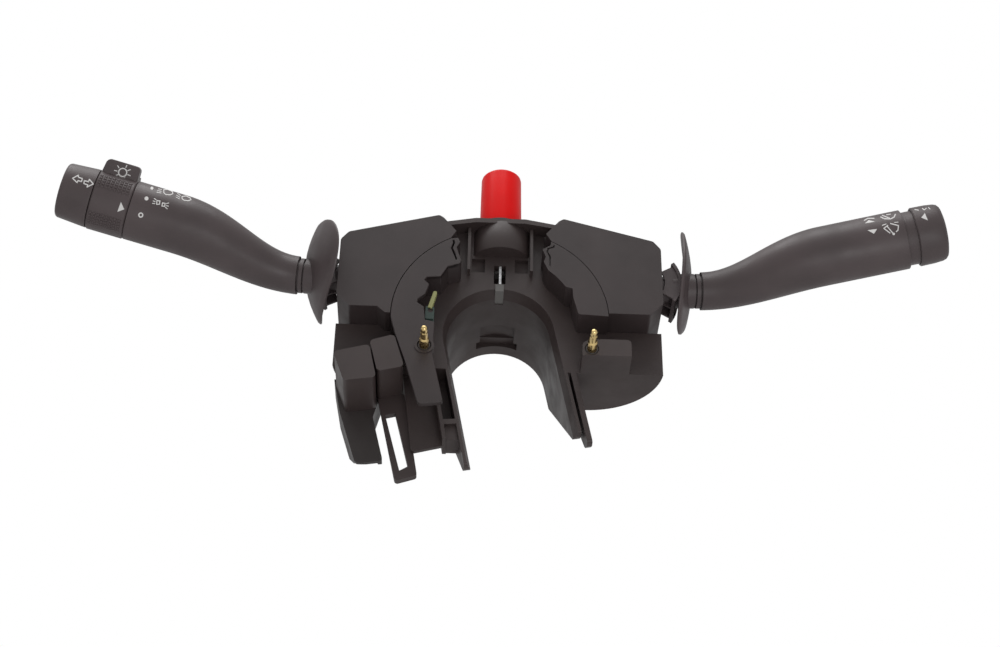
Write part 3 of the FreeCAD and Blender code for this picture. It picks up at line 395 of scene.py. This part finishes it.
def stalk_root(side):
    """Neck with its grooves, and the ribbed drum that covers the module's side opening."""
    name = SIDE_NAME[side]
    place = root_frame(side)
    neck = new_piece(f"{name}_neck", lathe([
        (0, 4.0), (6.0, 4.0), (7.0, 5.0), (7.0, 14.4), (NECK, 15.8), (NECK, ARM_START - 3.4),
        (NECK - 1.3, ARM_START - 3.2),
        (NECK - 1.3, ARM_START - 2.8), (NECK, ARM_START - 2.6), (NECK, ARM_START - 0.9),
        (7.2, ARM_START - 0.7), (7.2, ARM_START + 0.4), (0, ARM_START + 0.4),
    ], place), "stalk_plastic")
    seat(neck, f"{name}_stalk", "stalk_plastic", f"{name}_stalk_root")
    upon = place @ Matrix.Rotation(math.radians(90.0), 4, "X")
    first, last = DRUM_ARC[side]
    outline = ring_sector(DRUM_INNER, DRUM_OUTER, first, last)
    drum = new_piece(f"{name}_drum", prism(outline, -DRUM_HALF, DRUM_HALF, upon), "stalk_plastic")
    windows = []
    for start in (first + 4.0, last - 4.0 - DRUM_WINDOW_SWEEP):
        opening = ring_sector(DRUM_INNER - 2.4, DRUM_OUTER + 2.0, start, start + DRUM_WINDOW_SWEEP, 10)
        windows.append(new_piece("window", prism(opening, -DRUM_WINDOW_HALF, DRUM_WINDOW_HALF, upon),
                                 "stalk_plastic"))
    cut(drum, *windows)
    soften(drum, 0.2)
    seat(drum, f"{name}_stalk", "stalk_plastic")
    for across in (-7.6, 0.0, 7.6):
        inner = 6.6 if across == 0.0 else 12.0
        outline = ring_sector(inner, DRUM_INNER + 0.2, first + 4.0, last - 4.0, 20)
        rib = new_piece(f"{name}_drum_rib_{round(across + 8)}",
                        prism(outline, across - RIB_HALF, across + RIB_HALF, upon), "stalk_plastic")
        seat(rib, f"{name}_stalk", "stalk_plastic")


def shield(side):
    """Oval splash shield, bowed away from the module, with the neck through it."""
    name = SIDE_NAME[side]
    data = SHIELD[side]
    out, toward, up = data["place"]
    place = upward_frame(pivot_point(side) + Vector((side * out, -toward, up)),
                         slanted(side, data["yaw"], data["rise"]))
    tall, deep = data["half"]
    shape = bmesh.new()
    steps, shares = 96, (0.12, 0.3, 0.48, 0.64, 0.78, 0.89, 0.965, 1.0)
    layers = []
    for lift in (0.0, -SHIELD_WALL):
        middle = shape.verts.new(place @ Vector((0, 0, lift)))
        rings = []
        for share in shares:
            ring = []
            for step in range(steps):
                angle = 2 * math.pi * step / steps
                x = tall * share * math.cos(angle)
                y = deep * share * math.sin(angle)
                drop = (x * x + y * y) / (2 * data["bow"])
                edge = 0.55 * max(0.0, (share - 0.965) / 0.035) * (1 if lift == 0.0 else -1)
                ring.append(shape.verts.new(place @ Vector((x, y, lift - drop - edge))))
            rings.append(ring)
        layers.append((middle, rings))
        for step in range(steps):
            after = (step + 1) % steps
            shape.faces.new((middle, rings[0][step], rings[0][after]))
            for low, high in zip(rings, rings[1:]):
                shape.faces.new((low[step], high[step], high[after], low[after]))
    upper, lower = layers[0][1][-1], layers[1][1][-1]
    for step in range(steps):
        after = (step + 1) % steps
        shape.faces.new((upper[step], lower[step], lower[after], upper[after]))
    plate = new_piece(f"{name}_splash_shield", shape, "stalk_plastic")
    hole = new_piece("hole", lathe([(0, 6.0), (NECK - 0.05, 6.0), (NECK - 0.05, ARM_START + 16.0),
                                    (0, ARM_START + 16.0)], root_frame(side)), "stalk_plastic")
    cut(plate, hole)
    seat(plate, f"{name}_stalk", "stalk_plastic", f"{name}_shield")


# Barrels, knob and grips

BARREL_YAW = 12.5
BARREL_RISE = {LEFT: 9.1, RIGHT: 7.7}
BARREL_START = {LEFT: (85.0, 23.4, 13.0), RIGHT: (85.0, 23.4, 6.9)}
BUTTON_DEPTH = 6.8
GRIP_RADIUS, GRIP_HEIGHT = 14.18, 0.45
GRIP_ROWS, GRIP_COLUMNS = 5, 8
GRIP_ROW_PITCH, GRIP_COLUMN_PITCH = 6.5, 1.95


def barrel_frame(side):
    """Frame where the straight barrel starts, with own Z towards its end."""
    out, toward, up = BARREL_START[side]
    start = pivot_point(side) + Vector((side * out, -toward, up))
    return upward_frame(start, slanted(side, BARREL_YAW, BARREL_RISE[side]))


def right_end():
    """End of the right barrel, its stepped band and the push button's hood."""
    sleeve = new_piece("right_barrel_end", lathe([
        (9.4, 34.0), (13.98, 34.0), (14.0, 38.0), (13.8, 38.2), (12.6, 38.25), (12.6, 44.0),
        (9.4, 44.0),
    ], barrel_frame(RIGHT), closed=True), "stalk_plastic")
    seat(sleeve, "right_stalk", "stalk_plastic")
    knob = new_piece("wash_knob", lathe([
        (12.9, 43.2), (13.5, 43.2), (13.9, 43.6), (13.8, 50.0), (13.4, 54.0), (12.9, 55.4), (11.9, 56.3),
        (10.0, 56.8), (0, 56.9), (0, 55.6), (9.3, 55.6), (9.3, 47.4), (12.9, 47.4),
    ], barrel_frame(RIGHT)), "grip_plastic")
    return seat(knob, "wash_push", "grip_plastic", "rear_wash_button")


def lamp_tab():
    """Thumb tab that stands up from the headlamp ring."""
    place = barrel_frame(LEFT) @ Matrix.Rotation(math.radians(-38.0), 4, "Z")
    lying = place @ Matrix(((0, 1, 0, 0), (0, 0, 1, 0), (1, 0, 0, 0), (0, 0, 0, 1)))
    outline = rounded([(23.7, 12.8), (40.6, 12.8), (39.4, 20.2, 2.6), (23.9, 20.2, 2.0)])
    tab = new_piece("lamp_tab", prism(outline, -4.4, 4.4, lying), "grip_plastic")
    return seat(soften(tab, 0.4), "lamp_ring", "grip_plastic")


def upright_at(across):
    """Frame with own Z straight up, in line with the hazard button's stroke."""
    return Matrix.Translation((across, BUTTON_DEPTH - LEAD, 0.0))


def hazard_button():
    """Button a little larger than its solid, and the wide guide boss round it."""
    button = new_piece("hazard_cap", lathe([
        (3.0, 58.0), (10.3, 58.0), (10.35, 58.4), (9.9, 97.0), (9.7, 97.9), (9.1, 98.5), (8.2, 98.8),
        (0, 99.1), (0, 64.0), (3.0, 64.0),
    ], upright_at(0.15)), "hazard_red")
    seat(button, "hazard_push", "hazard_red", "hazard_button")
    shell = new_piece("guide_boss_shell", lathe([
        (12.6, 45.6), (14.8, 45.6), (15.0, 45.9), (15.0, 61.2), (14.8, 61.5), (12.6, 61.5),
    ], upright_at(0.6), closed=True), "housing_plastic")
    seat(shell, "housing", "housing_plastic")


def grip_patches():
    """Chequered grip patches round the headlamp ring."""
    place = barrel_frame(LEFT)
    shape = bmesh.new()
    for middle in (-87.0, -166.0, 115.0, 36.0):
        for row in range(-(GRIP_ROWS // 2), GRIP_ROWS // 2 + 1):
            for column in range(GRIP_COLUMNS):
                angle = math.radians(middle + row * GRIP_ROW_PITCH)
                along = 25.6 + column * GRIP_COLUMN_PITCH
                out = Vector((math.cos(angle), math.sin(angle), 0.0))
                across = Vector((-math.sin(angle), math.cos(angle), 0.0))
                corners = ((-1, -1), (1, -1), (1, 1), (-1, 1))
                low = [out * GRIP_RADIUS + across * a * 0.62 + Vector((0, 0, along + b * 0.76))
                       for a, b in corners]
                high = [out * (GRIP_RADIUS + GRIP_HEIGHT) + across * a * 0.34
                        + Vector((0, 0, along + b * 0.44)) for a, b in corners]
                bottom = [shape.verts.new(place @ corner) for corner in low]
                top = [shape.verts.new(place @ corner) for corner in high]
                shape.faces.new(bottom)
                shape.faces.new(top)
                for index in range(4):
                    after = (index + 1) % 4
                    shape.faces.new((bottom[index], bottom[after], top[after], top[index]))
    seat(new_piece("ring_grips", shape, "grip_plastic", 20.0), "lamp_ring", "grip_plastic")


# Sector boxes inside the modules' parting arc

HUB_END = {LEFT: beyond(-15.1, 57.5), RIGHT: beyond(-15.1, 50.8)}
SECTOR_END = {
    LEFT: [beyond(-1.1, 65.4), beyond(-3.9, 65.5), beyond(-6.0, 61.9), beyond(-8.9, 61.0),
           beyond(-13.8, 59.6)],
    RIGHT: [beyond(-2.2, 60.8), beyond(-6.3, 63.6), beyond(-9.3, 59.0), beyond(-12.4, 57.8)],
}
SECTOR_GROOVE = {
    LEFT: [beyond(-1.4, 62.4), beyond(-3.0, 62.0), beyond(-5.4, 58.9), beyond(-7.9, 58.4),
           beyond(-12.4, 56.7)],
    RIGHT: [beyond(-1.3, 59.1), beyond(-2.3, 58.8), beyond(-4.5, 60.9), beyond(-6.5, 60.2),
            beyond(-8.2, 56.8), beyond(-12.6, 52.3)],
}
SECTOR_RADIUS = 50.35
SECTOR_TOP = 61.8
SECTOR_FOOT = {LEFT: -2.5, RIGHT: 2.2}
STRAP_CORNER = polar(PARTING_RADIUS, SECTOR_FOOT[LEFT])
SECTOR_BOX = {
    LEFT: [beyond(-8.6, -2.8), beyond(-9.0, 10.0), beyond(-9.3, 28.6), beyond(-10.0, 31.6),
           beyond(-15.0, 38.1), beyond(-13.2, 48.4)],
    RIGHT: [(*beyond(-14.1, 4.2), 1.0), (*beyond(-14.3, 20.2), 1.0), beyond(-12.6, 27.2),
            beyond(-14.9, 30.6), beyond(-15.1, 36.0), beyond(-15.1, 43.0)],
}
LEFT_STRAP = [
    (STRAP_CORNER[0] - 2.6, STRAP_CORNER[1] - 9.0, 4.0), (42.5, -27.0, 12.0),
    (35.9, -49.3, 2.2), (24.7, -47.8, 1.2), (30.4, -22.0, 3.0), (30.2, -13.4, 2.0), (30.0, -4.2, 1.0),
    beyond(-15.8, -5.3), beyond(-15.0, 6.8), beyond(-11.6, 9.5), beyond(-11.4, 12.4),
    beyond(-13.8, 18.4), beyond(-13.1, 27.4), beyond(-10.0, 28.6), beyond(-10.0, 31.6),
    beyond(-15.0, 38.1), beyond(-13.2, 48.4),
]
LEFT_PIN = (-34.3, -17.4)


def sector_outline(side, lower):
    """Closed outline of a sector from its lower edge, its toothed end and the parting arc."""
    start, foot = polar(SECTOR_RADIUS, SECTOR_TOP), polar(SECTOR_RADIUS, SECTOR_FOOT[side])
    corners = rounded([foot] + lower + [HUB_END[side]] + SECTOR_END[side][::-1] + [start])
    closing = arc_points((0, 0), SECTOR_RADIUS, SECTOR_TOP, SECTOR_FOOT[side], 30)[1:-1]
    return mirrored(corners + closing, side)


def ribbon(points, half):
    """Closed outline of a band along joined points."""
    edges = ([], [])
    for index, point in enumerate(points):
        before = Vector(points[max(index - 1, 0)])
        after = Vector(points[min(index + 1, len(points) - 1)])
        heading = (after - before).normalized() * half
        edges[0].append((point[0] - heading.y, point[1] + heading.x))
        edges[1].append((point[0] + heading.y, point[1] - heading.x))
    return edges[0] + edges[1][::-1]


def disc(centre, radius, steps=40):
    """Closed outline of a full circle."""
    return arc_points(centre, radius, 0.0, 360.0, steps)[:-1]


def sector_box(side):
    """Toothed box of a sector with its groove, and on the left the strap over it."""
    name = SIDE_NAME[side]
    band = ribbon(mirrored(SECTOR_GROOVE[side], side), 0.4)
    groove = standing("groove", band, 14.0, 16.0, "module_plastic")
    box = standing(f"{name}_sector_box", sector_outline(side, SECTOR_BOX[side]), 0.05, 15.0,
                   "module_plastic")
    cut(box, groove)
    seat(soften(box), "housing", "module_plastic", f"{name}_sector_plate")
    if side == LEFT:
        strap = standing("left_strap", sector_outline(side, LEFT_STRAP), 12.6, 15.02, "module_plastic")
        cut(strap, standing("bore", disc(LEFT_PIN, 3.3), 8.0, 18.0, "module_plastic"),
            standing("groove", band, 14.0, 16.0, "module_plastic"))
        seat(soften(strap), "housing", "module_plastic")
        profile = [(3.3, 9.6), (4.5, 9.6), (4.5, 15.4), (3.3, 15.4)]
        collar = new_piece("left_pin_collar",
                           lathe(profile, FACE @ Matrix.Translation((*LEFT_PIN, 0.0)), closed=True),
                           "module_plastic")
        seat(collar, "housing", "module_plastic")


# Plug shells, pawl and small housing forms

def left_plug():
    """Open shell of the left plug, with its slanted mouth."""
    shell = standing("left_plug_shell", rounded([
        (-76.0, -20.0), (-72.6, -37.0, 2.0), (-63.7, -65.0, 3.0), (-51.3, -63.0, 1.5), (-57.0, -40.0),
        (-52.0, -20.0),
    ]), -28.0, -12.0, "plug_plastic")
    mouth = standing("mouth", rounded([
        (-69.6, -40.0), (-59.0, -36.6), (-52.4, -68.0), (-62.4, -70.0),
    ]), -26.0, -14.0, "plug_plastic")
    slant = axes(Vector((-90.0, -LEAD, 0.0)), Vector((0, 1, 0)), Vector((0, 0, 1)), Vector((1, 0, 0)))
    slope = new_piece("slope", prism([(11.0, -66.5), (33.0, -49.5), (33.0, -80.0), (11.0, -80.0)],
                                     0.0, 60.0, slant), "plug_plastic")
    cut(shell, mouth, slope)
    seat(soften(shell), "housing", "plug_plastic", "left_connector_shell")


def right_plug():
    """Open shell of the right plug and its two rows of blades."""
    shell = standing("right_plug_shell", rounded([
        (34.0, -7.0, 1.5), (57.0, -7.0, 1.5), (57.0, 9.0, 1.5), (34.0, 9.0, 1.5),
    ]), -44.0, -32.0, "plug_plastic")
    mouth = standing("mouth", rounded([(36.0, -5.0), (55.0, -5.0), (55.0, 7.0), (36.0, 7.0)]),
                     -45.0, -34.0, "plug_plastic")
    cut(shell, mouth)
    seat(soften(shell), "housing", "plug_plastic", "right_connector_shell")
    shape = bmesh.new()
    for row in range(2):
        for column in range(4):
            x, z = 38.4 + 4.4 * column, -2.6 + 6.6 * row
            blade = prism([(x, z), (x + 2.2, z), (x + 2.2, z + 0.8), (x, z + 0.8)], -42.0, -33.9, FACE)
            mesh = bpy.data.meshes.new("blade")
            blade.to_mesh(mesh)
            blade.free()
            shape.from_mesh(mesh)
            bpy.data.meshes.remove(mesh)
    blades = new_piece("right_blades", shape, "contact_brass")
    seat(blades, "housing", "contact_brass", "right_terminals")


def pawl():
    """Finger of the cancelling pawl and the carrier that turns with it."""
    outline = rounded([(-33.5, 5.7), (-31.5, 5.1), (-29.3, 14.6, 0.8), (-31.0, 15.2, 0.8)])
    finger = standing("pawl_finger", outline, 10.0, 12.6, "pawl_plastic")
    seat(soften(finger, 0.15), "pawl", "pawl_plastic", "cancel_pawl")
    outline = rounded([(-34.6, -0.6, 0.8), (-30.4, -0.6, 0.8), (-30.4, 6.2, 0.8), (-34.4, 6.8, 0.8)])
    carrier = standing("pawl_carrier", outline, 0.3, 12.0, "pawl_dark")
    cut(carrier, standing("bore", disc((-32.2, 4.2), 1.25), -1.0, 14.0, "pawl_dark"))
    seat(carrier, "pawl", "pawl_plastic", "cancel_pawl_carrier")


def housing_forms():
    """Channel beside the left leg, gussets below the roof, and the hood of the ceiling window."""
    forms = {
        "channel_side": ([(-31.4, -19.0), (-29.6, -19.0), (-22.8, -57.5), (-24.6, -57.5)], -14.0, 0.0),
        "channel_back": ([(-30.6, -19.0), (-23.6, -19.0), (-16.4, -57.0), (-23.4, -57.0)], -14.0, -12.0),
        "channel_end": ([(-25.4, -47.4), (-18.2, -46.8), (-17.6, -49.4), (-24.8, -50.0)], -13.0, -0.05),
        "channel_foot": ([(-24.6, -49.0), (-17.8, -48.4), (-15.9, -56.6), (-22.9, -57.2)], -13.0, -2.0),
    }
    for name, (outline, rear, front) in forms.items():
        seat(soften(standing(name, outline, rear, front, "housing_plastic"), 0.15), "housing",
             "housing_plastic")
    for side in (LEFT, RIGHT):
        gusset = mirrored([(18.0, 45.0), (25.0, 45.0), (25.0, 60.2), (18.0, 60.8)], side)
        seat(standing(f"{SIDE_NAME[side]}_gusset", gusset, -3.2, -1.2, "housing_plastic"), "housing",
             "housing_plastic")
    half, radius = 13.0, 27.6
    reach = math.degrees(math.asin(half / radius))
    under = arc_points((0, 0), radius, 90.0 + reach, 90.0 - reach, 20)
    top = rounded([(half, 35.0, 2.0), (-half, 35.0, 2.0), (-half, 25.0), (half, 25.0)])[:-2]
    hood = under + top
    seat(soften(standing("window_hood", hood, -48.5, -31.95, "housing_plastic")), "housing",
         "housing_plastic")


for each_side in (LEFT, RIGHT):
    stalk_root(each_side)
    shield(each_side)
    sector_box(each_side)
wash_knob = right_end()
lamp_tab_piece = lamp_tab()
hazard_button()
grip_patches()
left_plug()
right_plug()
pawl()
housing_forms()


# Printed signs, drawn in the photograph's pixels and laid on what carries them

def sight(point):
    """Direction from the camera through a point of the photograph."""
    across = (point[0] - PHOTO_MIDDLE[0]) / PHOTO_FOCUS
    down = (point[1] - PHOTO_MIDDLE[1]) / PHOTO_FOCUS
    return (look + side_axis * across - top_axis * down).normalized()


PRINT_SINK, PRINT_RISE = 0.00003, 0.00007


def stroke(points, width, closed=False):
    """Outlines of the straight runs of a drawn line, each a little longer than its run."""
    runs = list(zip(points, points[1:]))
    if closed:
        runs.append((points[-1], points[0]))
    outlines = []
    for first, last in runs:
        first, last = Vector(first), Vector(last)
        heading = (last - first).normalized()
        off = Vector((-heading.y, heading.x)) * width / 2
        first, last = first - heading * width * 0.35, last + heading * width * 0.35
        outlines.append([tuple(first + off), tuple(first - off), tuple(last - off), tuple(last + off)])
    return outlines


def strokes(width, *lines):
    """Outlines of several open lines of one width."""
    return [outline for line in lines for outline in stroke(line, width)]


def circle(centre, radius, width, steps=20):
    """Outlines of a drawn ring."""
    inner = arc_points(centre, radius - width / 2, 0.0, 360.0, steps)
    outer = arc_points(centre, radius + width / 2, 0.0, 360.0, steps)
    return [[inner[k], inner[k + 1], outer[k + 1], outer[k]] for k in range(steps)]


def printed(name, carrier, body, outlines):
    """A thin white print that follows the carrier's surface."""
    flat = bmesh.new()
    for outline in outlines:
        flat.faces.new([flat.verts.new((x, y, 0.0)) for x, y in outline])
    bmesh.ops.remove_doubles(flat, verts=flat.verts, dist=0.01)
    bmesh.ops.triangulate(flat, faces=flat.faces)
    for _ in range(4):
        long = [edge for edge in flat.edges if edge.calc_length() > 1.0]
        if not long:
            break
        bmesh.ops.subdivide_edges(flat, edges=long, cuts=1)
        bmesh.ops.triangulate(flat, faces=flat.faces)
    tree = BVHTree.FromPolygons([carrier.matrix_world @ vertex.co for vertex in carrier.data.vertices],
                                [tuple(face.vertices) for face in carrier.data.polygons])
    rise = {}
    for vertex in list(flat.verts):
        hit, normal, _, _ = tree.ray_cast(camera_place, sight(vertex.co))
        if hit is None:
            flat.verts.remove(vertex)
            continue
        rise[vertex] = (hit, normal if normal.dot(look) < 0 else -normal)
    for vertex, (hit, normal) in rise.items():
        vertex.co = (hit - normal * PRINT_SINK) / MM
    lifted = {vertex: (hit + normal * PRINT_RISE) / MM for vertex, (hit, normal) in rise.items()}
    faces = list(flat.faces)
    rim = [edge for edge in flat.edges if len(edge.link_faces) == 1]
    copies = {vertex: flat.verts.new(place) for vertex, place in lifted.items()}
    for face in faces:
        flat.faces.new([copies[vertex] for vertex in face.verts][::-1])
    for edge in rim:
        first, last = edge.verts
        flat.faces.new((first, last, copies[last], copies[first]))
    loose = [vertex for vertex in flat.verts if not vertex.link_faces]
    bmesh.ops.delete(flat, geom=loose, context="VERTS")
    bmesh.ops.recalc_face_normals(flat, faces=flat.faces)
    bmesh.ops.scale(flat, verts=flat.verts, vec=(MM, MM, MM))
    mesh = bpy.data.meshes.new(name)
    flat.to_mesh(mesh)
    flat.free()
    sign = bpy.data.objects.new(name, mesh)
    scene.collection.objects.link(sign)
    mesh.materials.append(print_white)
    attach(sign, body)
    return sign


printed("sign_arrows", nodes["left_end_cap"], "left_stalk",
        stroke([(72.5, 178.3), (78.2, 175.2), (78.4, 177.3), (82.3, 178.6), (81.4, 181.6), (77.9, 180.6),
                (77.0, 182.6)], 1.1, True)
        + stroke([(84.2, 180.6), (88.4, 181.8), (89.3, 179.4), (93.2, 183.9), (87.0, 187.0),
                  (87.6, 184.9), (83.8, 183.6)], 1.1, True))
lamp_rays = [((117.6, 165.6), (118.9, 167.8)), ((126.8, 165.2), (125.8, 167.5)),
             ((114.4, 170.4), (117.0, 171.0)), ((115.2, 175.6), (117.9, 174.6)),
             ((127.6, 170.6), (130.4, 169.6)), ((127.6, 174.6), (130.2, 175.6)),
             ((119.8, 179.2), (120.4, 177.6)), ((125.2, 179.2), (124.6, 177.7))]
printed("sign_lamp", lamp_tab_piece, "lamp_ring",
        circle((122.6, 172.4), 4.1, 1.2) + strokes(0.9, *lamp_rays))
printed("sign_pointer", nodes["headlamp_ring"], "lamp_ring",
        [[(120.8, 202.0), (117.2, 211.8), (124.2, 209.3)]])
printed("sign_dots", nodes["left_stalk_arm"], "left_stalk",
        [disc((151.8, 188.2), 1.5, 14), disc((146.4, 198.5), 2.0, 14)]
        + circle((140.7, 215.0), 2.0, 1.3, 16))
printed("sign_beams", nodes["left_stalk_arm"], "left_stalk",
        stroke([(163.6, 189.8), (167.6, 189.4), (172.2, 191.6), (172.8, 193.6), (170.0, 194.9),
                (165.8, 194.6), (163.8, 193.0)], 0.8, True)
        + strokes(0.6, [(158.2, 188.9), (161.6, 189.6)], [(157.4, 190.6), (161.2, 191.4)],
                  [(156.8, 192.3), (161.0, 193.1)])
        + stroke([(181.8, 196.6), (186.0, 196.0), (190.0, 198.0), (191.0, 199.8), (188.0, 200.8),
                  (183.8, 200.2), (182.0, 198.8)], 0.8, True)
        + strokes(0.6, [(177.4, 193.4), (180.4, 195.6)], [(176.4, 195.2), (179.8, 197.4)],
                  [(176.0, 197.2), (179.4, 199.0)]))
printed("sign_side_lamps", nodes["left_stalk_arm"], "left_stalk",
        stroke([(156.8, 200.6), (159.8, 201.0), (159.4, 204.2), (156.6, 204.4)], 1.0, True)
        + stroke([(162.4, 202.9), (165.0, 203.4), (164.6, 206.4), (161.8, 206.0)], 1.0, True)
        + strokes(0.8, [(153.0, 200.8), (155.0, 201.8)], [(152.4, 203.4), (154.8, 203.6)],
                  [(154.2, 198.6), (156.0, 199.8)], [(166.4, 203.6), (168.6, 203.0)],
                  [(166.2, 205.6), (168.4, 206.2)], [(165.4, 207.4), (167.2, 208.8)]))
printed("sign_wiper_marks", nodes["right_stalk_arm"], "right_stalk",
        [[(867.6, 230.2), (874.0, 233.8), (877.2, 229.0)],
         [(865.0, 223.4), (875.2, 221.8), (868.8, 220.2)]]
        + stroke([(864.4, 220.4), (868.0, 218.4), (874.2, 218.4)], 0.9))
printed("sign_wipers", nodes["right_stalk_arm"], "right_stalk",
        stroke([(880.8, 217.0), (884.4, 218.8), (890.8, 219.0), (894.4, 217.0), (895.4, 214.4)], 1.0)
        + stroke([(882.4, 215.4), (889.6, 218.2)], 0.9) + stroke([(886.6, 214.8), (890.6, 214.2)], 0.7)
        + stroke([(890.6, 223.6), (898.6, 225.6), (898.0, 230.4), (896.4, 231.6)], 1.0)
        + stroke([(887.0, 226.0), (893.6, 234.0)], 1.0) + stroke([(884.2, 228.6), (890.0, 233.0)], 1.0)
        + stroke([(884.0, 228.4), (887.8, 225.4)], 1.0) + stroke([(882.4, 225.4), (886.2, 224.0)], 0.8)
        + stroke([(894.6, 222.4), (898.2, 222.2)], 0.7)
        + [disc((893.8, 233.9), 1.3, 12)])
printed("sign_knob", wash_knob, "wash_push",
        [[(925.0, 213.2), (921.4, 217.6), (928.0, 220.4)]]
        + strokes(0.8, [(915.0, 209.6), (918.6, 210.2)],
                  [(922.4, 208.4), (924.4, 210.0), (926.4, 208.2)], [(928.6, 207.6), (930.0, 209.0)]))


# Floor, backdrop and light

FLOOR_HALF, FLOOR_HEIGHT = 4.0, -0.75
SURROUNDING_LIGHT = 0.62


def floor_plate():
    """Plain pale floor well below the part."""
    mesh = bpy.data.meshes.new("floor")
    shape = bmesh.new()
    bmesh.ops.create_grid(shape, x_segments=1, y_segments=1, size=FLOOR_HALF)
    bmesh.ops.translate(shape, verts=shape.verts, vec=(0.0, 0.0, FLOOR_HEIGHT))
    shape.to_mesh(mesh)
    shape.free()
    plate = bpy.data.objects.new("floor", mesh)
    scene.collection.objects.link(plate)
    material, _, shader = new_material("floor")
    shader.inputs["Base Color"].default_value = (0.8, 0.8, 0.8, 1.0)
    shader.inputs["Roughness"].default_value = 0.8
    mesh.materials.append(material)


def surroundings():
    """White to the camera, dimmer as a light and in reflections."""
    world = bpy.data.worlds.new("world")
    scene.world = world
    world.use_nodes = True
    tree = world.node_tree
    plain = tree.nodes["Background"]
    plain.inputs["Color"].default_value = (1.0, 1.0, 1.0, 1.0)
    plain.inputs["Strength"].default_value = SURROUNDING_LIGHT
    seen = tree.nodes.new("ShaderNodeBackground")
    seen.inputs["Color"].default_value = (1.0, 1.0, 1.0, 1.0)
    seen.inputs["Strength"].default_value = 1.0
    path = tree.nodes.new("ShaderNodeLightPath")
    mix = tree.nodes.new("ShaderNodeMixShader")
    tree.links.new(path.outputs["Is Camera Ray"], mix.inputs["Fac"])
    tree.links.new(plain.outputs["Background"], mix.inputs[1])
    tree.links.new(seen.outputs["Background"], mix.inputs[2])
    tree.links.new(mix.outputs["Shader"], tree.nodes["World Output"].inputs["Surface"])


def lamp(name, place, aim, width, power):
    """A soft rectangular lamp that points at a place."""
    data = bpy.data.lights.new(name, "AREA")
    data.shape = "RECTANGLE"
    data.size = width
    data.size_y = width * 0.6
    data.energy = power
    light = bpy.data.objects.new(name, data)
    scene.collection.objects.link(light)
    light.location = place
    light.rotation_mode = "QUATERNION"
    light.rotation_quaternion = (Vector(aim) - Vector(place)).to_track_quat("-Z", "Y")


floor_plate()
surroundings()
lamp("top", (-0.15, -0.35, 1.0), (0, 0, 0), 1.1, 8.0)
lamp("low", (0.25, -0.7, -0.7), (0, 0, 0), 0.7, 3.5)

scene.view_settings.view_transform = "Standard"
